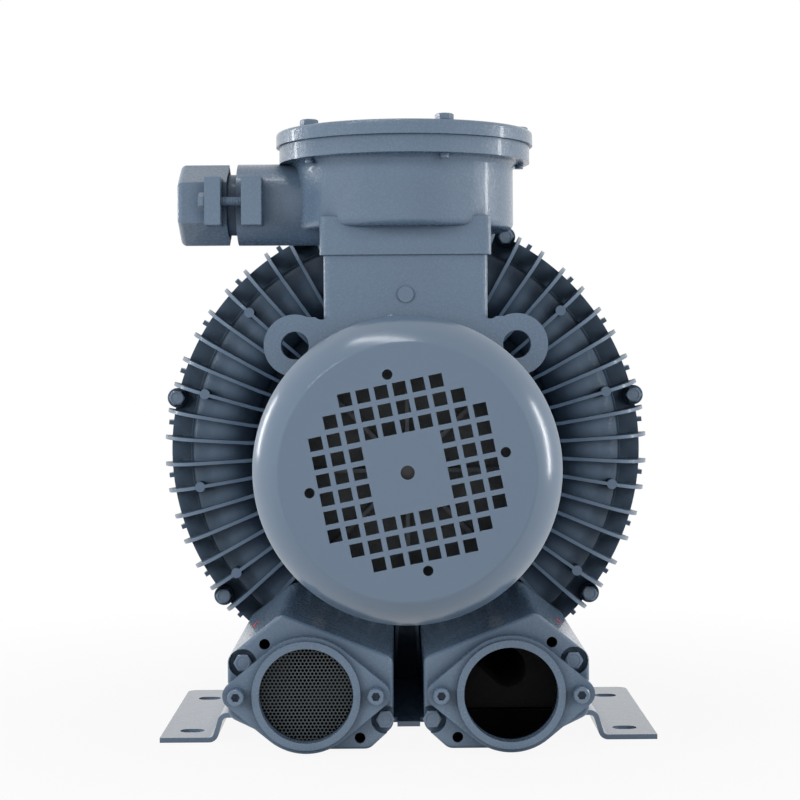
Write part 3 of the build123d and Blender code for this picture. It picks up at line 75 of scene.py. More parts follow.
def makeCastGrain(s):
    # sand-cast lumps under orange peel, as a normal and a 0 to 1 height
    group, start, end = newGroup(
        "castGrain",
        [("Grain Scale", "NodeSocketFloat", 260.0), ("Peel Scale", "NodeSocketFloat", 900.0),
         ("Depth", "NodeSocketFloat", 0.00015), ("Edge Radius", "NodeSocketFloat", 0.0008)],
        [("Normal", "NodeSocketVector"), ("Height", "NodeSocketFloat")],
    )
    place = addNode(group, "ShaderNodeTexCoord")
    lumps = addNode(group, "ShaderNodeTexNoise", {"Detail": 4.0, "Roughness": 0.55},
                    {"Vector": place.outputs["Object"], "Scale": start.outputs["Grain Scale"]})
    peel = addNode(group, "ShaderNodeTexNoise", {"Detail": 2.0, "Roughness": 0.4},
                   {"Vector": place.outputs["Object"], "Scale": start.outputs["Peel Scale"]})
    swell = addNode(group, "ShaderNodeTexNoise", {"Detail": 1.0, "Scale": s["swellScale"]},
                    {"Vector": place.outputs["Object"]})
    fine = addNode(group, "ShaderNodeMath", {"operation": "MULTIPLY_ADD"},
                   {0: peel.outputs["Fac"], 2: lumps.outputs["Fac"]})
    fine.inputs[1].default_value = s["peelShare"]
    height = addNode(group, "ShaderNodeMath", {"operation": "MULTIPLY_ADD"},
                     {0: swell.outputs["Fac"], 2: fine.outputs[0]})
    height.inputs[1].default_value = s["swellShare"]
    edge = addNode(group, "ShaderNodeBevel", {"samples": 4}, {"Radius": start.outputs["Edge Radius"]})
    bump = addNode(group, "ShaderNodeBump", {"Strength": 1.0},
                   {"Height": height.outputs[0], "Distance": start.outputs["Depth"],
                    "Normal": edge.outputs[0]})
    group.links.new(bump.outputs[0], end.inputs["Normal"])
    group.links.new(lumps.outputs["Fac"], end.inputs["Height"])
    return group


# colour of the painted shade in corners and gaps, and the scale of the random tone drift
shadeAndDrift = {"color": (0.030, 0.040, 0.052), "cloudScale": 14.0}


def makePaintTone(s):
    # enamel colour that drifts a little at random, with painted shade: it darkens by ambient occlusion in
    # corners and gaps
    group, start, end = newGroup(
        "paintToneAndShade",
        [("Paint", "NodeSocketColor", (*blueGrey, 1.0)), ("Drift", "NodeSocketFloat", 0.08),
         ("Corner Shade", "NodeSocketFloat", 0.35), ("Corner Reach", "NodeSocketFloat", 0.012)],
        [("Color", "NodeSocketColor"), ("Painted Shade", "NodeSocketFloat")],
    )
    place = addNode(group, "ShaderNodeTexCoord")
    cloud = addNode(group, "ShaderNodeTexNoise", {"Detail": 5.0, "Scale": s["cloudScale"], "Roughness": 0.6},
                    {"Vector": place.outputs["Object"]})
    level = addNode(group, "ShaderNodeMath", {"operation": "SUBTRACT"}, {0: cloud.outputs["Fac"]})
    level.inputs[1].default_value = 0.5
    swing = addNode(group, "ShaderNodeMath", {"operation": "MULTIPLY_ADD"},
                    {0: level.outputs[0], 1: start.outputs["Drift"]})
    swing.inputs[2].default_value = 1.0
    tint = addNode(group, "ShaderNodeVectorMath", {"operation": "SCALE"},
                   {0: start.outputs["Paint"], "Scale": swing.outputs[0]})
    # painted shade: ambient occlusion darkens the paint colour in corners, creases and gaps between parts
    corner = addNode(group, "ShaderNodeAmbientOcclusion", {"samples": 6},
                     {"Distance": start.outputs["Corner Reach"]})
    shadeAmount = addNode(group, "ShaderNodeMath", {"operation": "SUBTRACT"}, {1: corner.outputs["AO"]})
    shadeAmount.inputs[0].default_value = 1.0
    cornerShadeAmount = addNode(group, "ShaderNodeMath", {"operation": "MULTIPLY"},
                      {0: shadeAmount.outputs[0], 1: start.outputs["Corner Shade"]})
    dark = addNode(group, "ShaderNodeMix", {"data_type": "RGBA"}, {0: cornerShadeAmount.outputs[0], 6: tint.outputs[0]})
    dark.inputs[7].default_value = (*s["color"], 1.0)
    group.links.new(dark.outputs[2], end.inputs["Color"])
    group.links.new(cornerShadeAmount.outputs[0], end.inputs["Painted Shade"])
    return group


# depth over which a hole falls dark behind its mouth
boreFade = 0.004


def makeBoreMask():
    # 1 inside a round hole that runs along y from its mouth inward, on both sides of the machine
    group, start, end = newGroup(
        "boreMask",
        [("Center X", "NodeSocketFloat", 0.08), ("Center Z", "NodeSocketFloat", 0.05),
         ("Radius", "NodeSocketFloat", 0.038), ("Mouth Y", "NodeSocketFloat", -0.155)],
        [("Mask", "NodeSocketFloat")],
    )
    place = addNode(group, "ShaderNodeTexCoord")
    spot = addNode(group, "ShaderNodeSeparateXYZ", {}, {0: place.outputs["Object"]})
    side = addNode(group, "ShaderNodeMath", {"operation": "ABSOLUTE"}, {0: spot.outputs["X"]})
    across = addNode(group, "ShaderNodeMath", {"operation": "SUBTRACT"},
                     {0: side.outputs[0], 1: start.outputs["Center X"]})
    rise = addNode(group, "ShaderNodeMath", {"operation": "SUBTRACT"},
                   {0: spot.outputs["Z"], 1: start.outputs["Center Z"]})
    flat = addNode(group, "ShaderNodeCombineXYZ", {}, {"X": across.outputs[0], "Y": rise.outputs[0]})
    reach = addNode(group, "ShaderNodeVectorMath", {"operation": "LENGTH"}, {0: flat.outputs[0]})
    near = addNode(group, "ShaderNodeMath", {"operation": "LESS_THAN"},
                   {0: reach.outputs["Value"], 1: start.outputs["Radius"]})
    depth = addNode(group, "ShaderNodeMath", {"operation": "SUBTRACT"},
                    {0: spot.outputs["Y"], 1: start.outputs["Mouth Y"]})
    fade = addNode(group, "ShaderNodeMapRange", {"From Min": 0.0, "From Max": boreFade},
                   {"Value": depth.outputs[0]})
    both = addNode(group, "ShaderNodeMath", {"operation": "MULTIPLY"},
                   {0: near.outputs[0], 1: fade.outputs[0]})
    group.links.new(both.outputs[0], end.inputs["Mask"])
    return group


castGrain = makeCastGrain(grainMix)
paintToneAndShade = makePaintTone(shadeAndDrift)
boreMask = makeBoreMask()
# near-black colour of the painted shade inside open holes
boreShadeColor = (0.004, 0.004, 0.005)
openBores = [
    # center x, center z, radius, mouth y
    (0.0800, 0.049, 0.0402, -0.1545), (0.1127, 0.088, 0.0046, -0.1512), (0.0384, 0.014, 0.0046, -0.1512),
]


def newMaterial(name):
    material = bpy.data.materials.new(name)
    material.use_nodes = True
    tree = material.node_tree
    return material, tree, tree.nodes["Principled BSDF"]


def addGroup(tree, group, values=None):
    node = tree.nodes.new("ShaderNodeGroup")
    node.node_tree = group
    for key, value in (values or {}).items():
        node.inputs[key].default_value = value
    return node


def shadeBores(tree, color):
    # painted shade: the inside of each open hole is painted near black and loses its gloss, standing in for
    # the shade there; gives the darkened colour and the mask
    total = None
    for centerX, centerZ, radius, mouth in openBores:
        mask = addGroup(tree, boreMask, {"Center X": centerX, "Center Z": centerZ, "Radius": radius,
                                         "Mouth Y": mouth}).outputs["Mask"]
        if total is not None:
            mask = addNode(tree, "ShaderNodeMath", {"operation": "MAXIMUM"}, {0: total, 1: mask}).outputs[0]
        total = mask
    dark = addNode(tree, "ShaderNodeMix", {"data_type": "RGBA"}, {0: total, 6: color})
    dark.inputs[7].default_value = (*boreShadeColor, 1.0)
    return dark.outputs[2], total


def makePaint(name, look):
    material, tree, shader = newMaterial(name)
    tone = addGroup(tree, paintToneAndShade, {"Paint": (*look["color"], 1.0), "Drift": look["drift"],
                                      "Corner Shade": look["cornerShade"],
                                      "Corner Reach": look["cornerReach"]})
    grain = addGroup(tree, castGrain, {"Grain Scale": look["grainScale"], "Peel Scale": look["peelScale"],
                                       "Depth": look["depth"], "Edge Radius": look["edgeRadius"]})
    tree.links.new(grain.outputs["Normal"], shader.inputs["Normal"])
    color, shadeAmount = tone.outputs["Color"], tone.outputs["Painted Shade"]
    # painted shade inside the open holes
    if look["bores"]:
        color, mask = shadeBores(tree, color)
        shadeAmount = addNode(tree, "ShaderNodeMath", {"operation": "MAXIMUM"}, {0: shadeAmount, 1: mask}).outputs[0]
    tree.links.new(color, shader.inputs["Base Color"])
    # painted shade on the gloss too: coat and specular fade out where the painted corner shade and bore shade
    # are strong, so nothing bright is mirrored deep in a corner
    for label, full in (("Coat Weight", look["coat"]), ("Specular IOR Level", 0.5)):
        level = addNode(tree, "ShaderNodeMapRange",
                        {"From Max": look["glossEnd"], "To Min": full, "To Max": 0.0}, {"Value": shadeAmount})
        tree.links.new(level.outputs[0], shader.inputs[label])
    rough = addNode(tree, "ShaderNodeMapRange",
                    {"From Min": 0.3, "From Max": 0.7, "To Min": look["rough"][0],
                     "To Max": look["rough"][1]},
                    {"Value": grain.outputs["Height"]})
    tree.links.new(rough.outputs[0], shader.inputs["Roughness"])
    shader.inputs["Coat Roughness"].default_value = look["coatRough"]
    return material


makePaint("castPaint", {
    "color": blueGrey, "drift": 0.16, "cornerShade": 0.60, "cornerReach": 0.014, "grainScale": 420.0,
    "peelScale": 1500.0, "depth": 0.00032, "edgeRadius": 0.0008, "rough": (0.16, 0.34), "coat": 0.30,
    "bores": True, "glossEnd": 0.38, "coatRough": 0.06,
})
# the fins get the strongest painted shade, which darkens the gaps between them
makePaint("finPaint", {
    "color": blueGrey, "drift": 0.20, "cornerShade": 0.95, "cornerReach": 0.030, "grainScale": 420.0,
    "peelScale": 1400.0, "depth": 0.00015, "edgeRadius": 0.0005, "rough": (0.24, 0.42), "coat": 0.15,
    "bores": False, "glossEnd": 0.50, "coatRough": 0.10,
})
makePaint("sheetPaint", {
    "color": blueGrey, "drift": 0.02, "cornerShade": 0.35, "cornerReach": 0.012, "grainScale": 120.0,
    "peelScale": 420.0, "depth": 0.00004, "edgeRadius": 0.0004, "rough": (0.20, 0.24), "coat": 0.40,
    "bores": False, "glossEnd": 0.35, "coatRough": 0.16,
})
makePaint("screwPaint", {
    "color": blueGrey, "drift": 0.10, "cornerShade": 0.5, "cornerReach": 0.010, "grainScale": 500.0,
    "peelScale": 1500.0, "depth": 0.00012, "edgeRadius": 0.0006, "rough": (0.18, 0.34), "coat": 0.4,
    "bores": False, "glossEnd": 0.50, "coatRough": 0.08,
})


def makeMetal(name, look):
    # turned or cut metal with fine marks along one axis
    material, tree, shader = newMaterial(name)
    place = addNode(tree, "ShaderNodeTexCoord")
    stretch = addNode(tree, "ShaderNodeMapping", {}, {"Vector": place.outputs["Object"]})
    stretch.inputs["Scale"].default_value = look["stretch"]
    marks = addNode(tree, "ShaderNodeTexNoise", {"Scale": look["scale"], "Detail": 6.0, "Roughness": 0.6},
                    {"Vector": stretch.outputs[0]})
    tone = addNode(tree, "ShaderNodeValToRGB", {}, {"Fac": marks.outputs["Fac"]})
    tone.color_ramp.elements[0].color = (*[part * 0.75 for part in look["color"]], 1.0)
    tone.color_ramp.elements[1].color = (*look["color"], 1.0)
    tree.links.new(tone.outputs[0], shader.inputs["Base Color"])
    rough = addNode(tree, "ShaderNodeMapRange", {"To Min": look["rough"][0], "To Max": look["rough"][1]},
                    {"Value": marks.outputs["Fac"]})
    tree.links.new(rough.outputs[0], shader.inputs["Roughness"])
    bump = addNode(tree, "ShaderNodeBump", {"Distance": look["depth"]}, {"Height": marks.outputs["Fac"]})
    tree.links.new(bump.outputs[0], shader.inputs["Normal"])
    shader.inputs["Metallic"].default_value = look["metallic"]
    return material


makeMetal("zincSteel", {
    "color": (0.55, 0.56, 0.57), "scale": 90.0, "stretch": (1.0, 1.0, 1.0), "rough": (0.28, 0.45),
    "depth": 0.00005, "metallic": 1.0,
})
makeMetal("groundSteel", {
    "color": (0.11, 0.11, 0.115), "scale": 60.0, "stretch": (1.0, 14.0, 1.0), "rough": (0.28, 0.42),
    "depth": 0.00003, "metallic": 0.6,
})
makeMetal("coreSteel", {
    "color": (0.22, 0.22, 0.23), "scale": 40.0, "stretch": (1.0, 50.0, 1.0), "rough": (0.35, 0.55),
    "depth": 0.0001, "metallic": 1.0,
})
makeMetal("castAluminium", {
    "color": (0.62, 0.63, 0.64), "scale": 220.0, "stretch": (1.0, 1.0, 1.0), "rough": (0.35, 0.55),
    "depth": 0.0002, "metallic": 1.0,
})
makeMetal("woundCopper", {
    "color": (0.50, 0.22, 0.09), "scale": 30.0, "stretch": (9.0, 1.0, 9.0), "rough": (0.30, 0.45),
    "depth": 0.0006, "metallic": 0.8,
})
makeMetal("terminalBrass", {
    "color": (0.72, 0.52, 0.22), "scale": 120.0, "stretch": (1.0, 1.0, 4.0), "rough": (0.22, 0.38),
    "depth": 0.00004, "metallic": 1.0,
})


def makeDull(name, look):
    # rubber, fibre, foam and moulded plastic
    material, tree, shader = newMaterial(name)
    place = addNode(tree, "ShaderNodeTexCoord")
    grain = addNode(tree, "ShaderNodeTexNoise", {"Scale": look["scale"], "Detail": 5.0, "Roughness": 0.65},
                    {"Vector": place.outputs["Object"]})
    tone = addNode(tree, "ShaderNodeValToRGB", {}, {"Fac": grain.outputs["Fac"]})
    tone.color_ramp.elements[0].position = 0.3
    tone.color_ramp.elements[0].color = (*[part * 0.6 for part in look["color"]], 1.0)
    tone.color_ramp.elements[1].position = 0.7
    tone.color_ramp.elements[1].color = (*look["color"], 1.0)
    tree.links.new(tone.outputs[0], shader.inputs["Base Color"])
    bump = addNode(tree, "ShaderNodeBump", {"Distance": look["depth"]}, {"Height": grain.outputs["Fac"]})
    tree.links.new(bump.outputs[0], shader.inputs["Normal"])
    shader.inputs["Roughness"].default_value = look["rough"]
    return material


makeDull("blackRubber", {
    "color": (0.022, 0.022, 0.024), "scale": 400.0, "depth": 0.0001, "rough": 0.62,
})
makeDull("fibreSheet", {
    "color": (0.06, 0.06, 0.06), "scale": 700.0, "depth": 0.0001, "rough": 0.8,
})
makeDull("darkFoam", {
    "color": (0.004, 0.004, 0.005), "scale": 600.0, "depth": 0.0009, "rough": 0.95,
})
makeDull("fanPlastic", {
    "color": (0.17, 0.19, 0.21), "scale": 900.0, "depth": 0.00006, "rough": 0.4,
})
makeDull("mouldedBlack", {
    "color": (0.030, 0.030, 0.033), "scale": 900.0, "depth": 0.00006, "rough": 0.5,
})
makeMetal("meshSteel", {
    "color": (0.085, 0.100, 0.108), "scale": 300.0, "stretch": (1.0, 1.0, 1.0),
    "rough": (0.35, 0.55), "depth": 0.00004, "metallic": 0.6,
})
makeDull("redSticker", {
    "color": (0.55, 0.040, 0.035), "scale": 300.0, "depth": 0.00002, "rough": 0.45,
})
print("materials made")

finishes = {
    "castPaint": ["motor_frame", "terminal_box", "box_lid", "gland_cap", "gland_sleeve", "left_silencer_body",
                  "right_silencer_body", "left_silencer_cover", "right_silencer_cover", "left_port_flange",
                  "right_port_flange", "fan_end_shield", "drive_end_shield"],
    "finPaint": ["front_housing", "rear_housing"],
    "sheetPaint": ["fan_cowl", "foot_bracket"],
    "screwPaint": ["casing_screws", "lid_screws", "cover_screws", "port_flange_screws", "cowl_screws",
                   "gland_bolts", "pedestal_plug"],
    "zincSteel": ["foot_screws", "shield_flange_screws", "end_shield_screws", "neck_screws",
                  "silencer_screws", "impeller_washer", "impeller_bolt", "fan_clip", "wave_spring",
                  "inlet_screen"],
    "groundSteel": ["shaft", "impeller_key", "drive_end_bearing_inner_ring", "drive_end_bearing_outer_ring",
                    "fan_end_bearing_inner_ring", "fan_end_bearing_outer_ring"],
    "coreSteel": ["rotor_core", "stator_core"],
    "castAluminium": ["impeller"],
    "woundCopper": ["stator_windings"],
    "terminalBrass": ["terminal_studs"],
    "blackRubber": ["shaft_seal", "gland_seal", "box_lid_seal"],
    "fibreSheet": ["left_cover_gasket", "right_cover_gasket", "left_port_gasket", "right_port_gasket"],
    "darkFoam": ["left_silencer_foam", "right_silencer_foam"],
    "fanPlastic": ["cooling_fan"],
    "mouldedBlack": ["terminal_block"],
}
for finish, names in finishes.items():
    for name in names:
        mesh = nodes[name].data
        mesh.materials.clear()
        mesh.materials.append(bpy.data.materials[finish])
print("finishes given to", sum(len(names) for names in finishes.values()), "nodes")


hardware = {
    "segments": 24, "pitch": 0.00125, "threadDepth": 0.00045, "knurlDepth": 0.00012,
    "crownShare": 0.94, "crownSlope": 0.55,
    "hexM8": {"flats": 0.013, "head": 0.0053, "chamfer": 0.0004, "shank": 0.0039},
    "hexM10": {"flats": 0.016, "head": 0.0064, "chamfer": 0.0005, "shank": 0.0049},
    "capM8": {"head": 0.008, "radius": 0.0065, "socket": 0.0030, "socketDepth": 0.0045, "shank": 0.0039},
    "capM5": {"head": 0.003, "radius": 0.00425, "socket": 0.0015, "socketDepth": 0.0018, "shank": 0.0024},
}


def linkRings(mesh, rings):
    # skins neighbouring rings of equal length into a tube
    for lower, upper in zip(rings, rings[1:]):
        count = len(lower)
        for index in range(count):
            after = (index + 1) % count
            mesh.faces.new((lower[index], lower[after], upper[after], upper[index]))


def ringOf(mesh, radiusAt, heightAt, count):
    ring = []
    for index in range(count):
        turn = 2 * math.pi * index / count
        radius = radiusAt(turn)
        ring.append(mesh.verts.new((radius * math.cos(turn), radius * math.sin(turn), heightAt(radius))))
    return ring


def hexRadius(flats, turn):
    # distance from the middle of a hexagon to its side at this turn
    sixth = math.pi / 3
    return flats / 2 / math.cos((turn % sixth) - sixth / 2)


def shankRings(mesh, radius, length, count):
    # a threaded shank from under the head to a chamfered tip
    rings = [ringOf(mesh, lambda turn: radius, lambda at: 0.0, count)]
    depth = 0.0
    while depth + hardware["pitch"] < length:
        root = radius - hardware["threadDepth"]
        rings.append(ringOf(mesh, lambda turn: radius, lambda at, z=-depth - 0.0001: z, count))
        rings.append(ringOf(mesh, lambda turn: root, lambda at, z=-depth - hardware["pitch"] / 2: z, count))
        depth += hardware["pitch"]
    rings.append(ringOf(mesh, lambda turn: radius * 0.85, lambda at: -length, count))
    return rings


def hexScrewMesh(name, size, length):
    mesh = bmesh.new()
    count = hardware["segments"]
    flats, head = size["flats"], size["head"]
    crown = flats / 2 * hardware["crownShare"]
    rings = shankRings(mesh, size["shank"], length, count)
    mesh.faces.new(rings[-1])
    rings.reverse()
    rings.append(ringOf(mesh, lambda turn: hexRadius(flats, turn) - size["chamfer"], lambda at: 0.0, count))
    rings.append(ringOf(mesh, lambda turn: hexRadius(flats, turn), lambda at: size["chamfer"], count))
    rings.append(ringOf(mesh, lambda turn: hexRadius(flats, turn),
                        lambda at: head - (at - crown) * hardware["crownSlope"], count))
    rings.append(ringOf(mesh, lambda turn: crown, lambda at: head, count))
    rings.append(ringOf(mesh, lambda turn: crown * 0.80, lambda at: head, count))
    rings.append(ringOf(mesh, lambda turn: crown * 0.74, lambda at: head - 0.0003, count))
    linkRings(mesh, rings)
    mesh.faces.new(rings[-1])
    return finishShape(mesh, name)


def capScrewMesh(name, size, length):
    mesh = bmesh.new()
    count = hardware["segments"] * 2
    radius, head, socket = size["radius"], size["head"], size["socket"]
    rings = shankRings(mesh, size["shank"], length, count)
    mesh.faces.new(rings[-1])
    rings.reverse()

    def knurl(turn):
        return radius - hardware["knurlDepth"] * (round(turn * count / (2 * math.pi)) % 2)

    rings.append(ringOf(mesh, lambda turn: radius - 0.0003, lambda at: 0.0, count))
    rings.append(ringOf(mesh, knurl, lambda at: 0.0003, count))
    rings.append(ringOf(mesh, knurl, lambda at: head - 0.0009, count))
    rings.append(ringOf(mesh, lambda turn: radius - 0.0008, lambda at: head, count))
    rings.append(ringOf(mesh, lambda turn: hexRadius(2 * socket, turn) * 1.12, lambda at: head, count))
    rings.append(ringOf(mesh, lambda turn: hexRadius(2 * socket, turn), lambda at: head - 0.0003, count))
    rings.append(ringOf(mesh, lambda turn: hexRadius(2 * socket, turn),
                        lambda at: head - size["socketDepth"], count))
    rings.append(ringOf(mesh, lambda turn: socket * 0.2,
                        lambda at: head - size["socketDepth"] - 0.001, count))
    linkRings(mesh, rings)
    mesh.faces.new(rings[-1])
    return finishShape(mesh, name)


def finishShape(mesh, name):
    bmesh.ops.recalc_face_normals(mesh, faces=mesh.faces)
    data = bpy.data.meshes.new(name)
    mesh.to_mesh(data)
    mesh.free()
    return data


def newTree(name, inputs):
    tree = bpy.data.node_groups.new(name, "GeometryNodeTree")
    tree.interface.new_socket("Geometry", in_out="INPUT", socket_type="NodeSocketGeometry")
    for label, kind, value in inputs:
        socket = tree.interface.new_socket(label, in_out="INPUT", socket_type=kind)
        if value is not None:
            socket.default_value = value
    tree.interface.new_socket("Geometry", in_out="OUTPUT", socket_type="NodeSocketGeometry")
    return tree, tree.nodes.new("NodeGroupInput"), tree.nodes.new("NodeGroupOutput")


# metres between points that are one, and the steepest turn in degrees that counts as a curved wall
weldDistance = 0.000002
wallTurn = 38.0


def makeSmoothTree(limit):
    # rounds the shading of wide curved walls and keeps every sharper edge crisp
    tree, start, end = newTree("smoothWalls", [])
    bare = addNode(tree, "GeometryNodeRemoveAttribute", {}, {"Geometry": start.outputs[0]})
    bare.inputs["Name"].default_value = "custom_normal"
    joined = addNode(tree, "GeometryNodeMergeByDistance", {"Distance": weldDistance},
                     {"Geometry": bare.outputs[0]})
    smooth = addNode(tree, "GeometryNodeSetShadeSmooth", {"domain": "FACE", "Shade Smooth": True},
                     {"Geometry": joined.outputs[0]})
    angle = addNode(tree, "GeometryNodeInputMeshEdgeAngle")
    sharp = addNode(tree, "FunctionNodeCompare", {"data_type": "FLOAT", "operation": "GREATER_THAN"},
                    {"A": angle.outputs["Unsigned Angle"]})
    sharp.inputs["B"].default_value = math.radians(limit)
    crisp = addNode(tree, "GeometryNodeSetShadeSmooth", {"domain": "EDGE", "Shade Smooth": False},
                    {"Geometry": smooth.outputs[0], "Selection": sharp.outputs[0]})
    tree.links.new(crisp.outputs[0], end.inputs[0])
    return tree


smoothTree = makeSmoothTree(wallTurn)
for name in ("front_housing", "rear_housing"):
    nodes[name].modifiers.new("smoothWalls", "NODES").node_group = smoothTree
print("housing walls smoothed")


def makeSetTree():
    # puts one shape on every point, with its own z along the point's facing
    tree, start, end = newTree("shapeSet", [("Shape", "NodeSocketObject", None),
                                            ("Material", "NodeSocketMaterial", None)])
    shape = addNode(tree, "GeometryNodeObjectInfo", {}, {"Object": start.outputs["Shape"]})
    facing = addNode(tree, "GeometryNodeInputNamedAttribute", {"data_type": "FLOAT_VECTOR", "Name": "facing"})
    turn = addNode(tree, "FunctionNodeAlignRotationToVector", {"axis": "Z"},
                   {"Vector": facing.outputs["Attribute"]})
    spread = addNode(tree, "GeometryNodeInstanceOnPoints", {},
                     {"Points": start.outputs["Geometry"], "Instance": shape.outputs["Geometry"],
                      "Rotation": turn.outputs[0]})
    real = addNode(tree, "GeometryNodeRealizeInstances", {}, {"Geometry": spread.outputs[0]})
    painted = addNode(tree, "GeometryNodeSetMaterial", {},
                      {"Geometry": real.outputs[0], "Material": start.outputs["Material"]})
    tree.links.new(painted.outputs[0], end.inputs[0])
    return tree


# cells closer than this become one sheet
cellWeld = 0.00001


def makeScreenTree():
    # a round sheet of hexagonal cells, each cell one copy of a small pierced plate
    tree, start, end = newTree("piercedSheet", [
        ("Cell", "NodeSocketObject", None), ("Pitch", "NodeSocketFloat", 0.003),
        ("Radius", "NodeSocketFloat", 0.038), ("Rows", "NodeSocketInt", 32),
        ("Center", "NodeSocketVector", (0.0, 0.0, 0.0)), ("Material", "NodeSocketMaterial", None)])
    cell = addNode(tree, "GeometryNodeObjectInfo", {}, {"Object": start.outputs["Cell"]})
    index = addNode(tree, "GeometryNodeInputIndex")
    total = addNode(tree, "ShaderNodeMath", {"operation": "MULTIPLY"},
                    {0: start.outputs["Rows"], 1: start.outputs["Rows"]})
    points = addNode(tree, "GeometryNodePoints", {}, {"Count": total.outputs[0]})
    row = addNode(tree, "ShaderNodeMath", {"operation": "DIVIDE"},
                  {0: index.outputs[0], 1: start.outputs["Rows"]})
    rowWhole = addNode(tree, "ShaderNodeMath", {"operation": "FLOOR"}, {0: row.outputs[0]})
    column = addNode(tree, "ShaderNodeMath", {"operation": "MODULO"},
                     {0: index.outputs[0], 1: start.outputs["Rows"]})
    odd = addNode(tree, "ShaderNodeMath", {"operation": "MODULO", 1: 2.0}, {0: rowWhole.outputs[0]})
    shifted = addNode(tree, "ShaderNodeMath", {"operation": "MULTIPLY_ADD", 1: 0.5},
                      {0: odd.outputs[0], 2: column.outputs[0]})
    halfRows = addNode(tree, "ShaderNodeMath", {"operation": "MULTIPLY", 1: 0.5}, {0: start.outputs["Rows"]})
    fromMiddleX = addNode(tree, "ShaderNodeMath", {"operation": "SUBTRACT"},
                          {0: shifted.outputs[0], 1: halfRows.outputs[0]})
    fromMiddleZ = addNode(tree, "ShaderNodeMath", {"operation": "SUBTRACT"},
                          {0: rowWhole.outputs[0], 1: halfRows.outputs[0]})
    squeezed = addNode(tree, "ShaderNodeMath", {"operation": "MULTIPLY", 1: math.sqrt(3) / 2},
                       {0: fromMiddleZ.outputs[0]})
    spot = addNode(tree, "ShaderNodeCombineXYZ", {}, {"X": fromMiddleX.outputs[0], "Z": squeezed.outputs[0]})
    scaled = addNode(tree, "ShaderNodeVectorMath", {"operation": "SCALE"},
                     {0: spot.outputs[0], "Scale": start.outputs["Pitch"]})
    reach = addNode(tree, "ShaderNodeVectorMath", {"operation": "LENGTH"}, {0: scaled.outputs[0]})
    outside = addNode(tree, "ShaderNodeMath", {"operation": "GREATER_THAN"},
                      {0: reach.outputs["Value"], 1: start.outputs["Radius"]})
    placed = addNode(tree, "ShaderNodeVectorMath", {"operation": "ADD"},
                     {0: scaled.outputs[0], 1: start.outputs["Center"]})
    laid = addNode(tree, "GeometryNodeSetPosition", {},
                   {"Geometry": points.outputs[0], "Position": placed.outputs[0]})
    kept = addNode(tree, "GeometryNodeDeleteGeometry", {"domain": "POINT"},
                   {"Geometry": laid.outputs[0], "Selection": outside.outputs[0]})
    spread = addNode(tree, "GeometryNodeInstanceOnPoints", {},
                     {"Points": kept.outputs[0], "Instance": cell.outputs["Geometry"]})
    real = addNode(tree, "GeometryNodeRealizeInstances", {}, {"Geometry": spread.outputs[0]})
    joined = addNode(tree, "GeometryNodeMergeByDistance", {"Distance": cellWeld},
                     {"Geometry": real.outputs[0]})
    painted = addNode(tree, "GeometryNodeSetMaterial", {},
                      {"Geometry": joined.outputs[0], "Material": start.outputs["Material"]})
    tree.links.new(painted.outputs[0], end.inputs[0])
    return tree


def growPiece(name, tree, values, points=(), facings=()):
    # runs a tree on a carrier of points and keeps its result as a plain mesh
    carrierMesh = bpy.data.meshes.new(name + "Points")
    carrierMesh.from_pydata([tuple(point) for point in points], [], [])
    if facings:
        attribute = carrierMesh.attributes.new("facing", "FLOAT_VECTOR", "POINT")
        for index, facing in enumerate(facings):
            attribute.data[index].vector = facing
    carrier = bpy.data.objects.new(name + "Carrier", carrierMesh)
    scene.collection.objects.link(carrier)
    modifier = carrier.modifiers.new("build", "NODES")
    modifier.node_group = tree
    for item in tree.interface.items_tree:
        if item.item_type == "SOCKET" and item.in_out == "INPUT" and item.name in values:
            modifier[item.identifier] = values[item.name]
    graph = bpy.context.evaluated_depsgraph_get()
    grown = bpy.data.meshes.new_from_object(carrier.evaluated_get(graph), depsgraph=graph)
    carrier.modifiers.remove(modifier)
    bpy.data.objects.remove(carrier)
    grown.name = name
    piece = bpy.data.objects.new(name, grown)
    scene.collection.objects.link(piece)
    return piece


def shapeHolder(name, data):
    # an unseen object that a tree copies from; it is removed once the pieces are grown
    holder = bpy.data.objects.new(name, data)
    scene.collection.objects.link(holder)
    return holder


def smoothByAngle(piece, limit=35.0):
    # smooth shading that keeps edges sharper than the limit crisp
    piece.data.polygons.foreach_set("use_smooth", [True] * len(piece.data.polygons))
    edgeMesh = bmesh.new()
    edgeMesh.from_mesh(piece.data)
    for edge in edgeMesh.edges:
        edge.smooth = len(edge.link_faces) == 2 and edge.calc_face_angle(0.0) < math.radians(limit)
    edgeMesh.to_mesh(piece.data)
    edgeMesh.free()


axisHeight = 0.228
lidScrews = {"length": 0.0300, "pitch": 0.097, "angles": (-53.0, 19.0, 91.0, 163.0, 235.0),
             "centerY": -0.042, "z": 0.5005}
casingScrews = {"length": 0.0240, "pitch": 0.215,
                "angles": (12.86, 64.3, 115.7, 167.14, 218.6, 321.4), "y": 0.096}
coverScrews = {"length": 0.0420, "spots": ((0.130, 0.0733), (0.0185, 0.0282)), "y": -0.1465}
portScrews = {"length": 0.0135, "spots": ((0.0255, 0.049), (0.1345, 0.049)), "y": -0.1605}
glandBolts = {"length": 0.0460, "x": -0.1642, "spots": ((-0.0837, 0.4413), (-0.0003, 0.4413))}
cowlScrews = {"length": 0.0130, "radius": 0.116, "y": -0.131, "angles": (95.6, 185.6, 275.6, 5.6)}
footScrews = {"length": 0.0195,
              "spots": ((-0.042, 0.084), (-0.042, 0.136), (0.042, 0.084), (0.042, 0.136)), "z": 0.020}

front, left, up, down = (0.0, -1.0, 0.0), (-1.0, 0.0, 0.0), (0.0, 0.0, 1.0), (0.0, 0.0, -1.0)


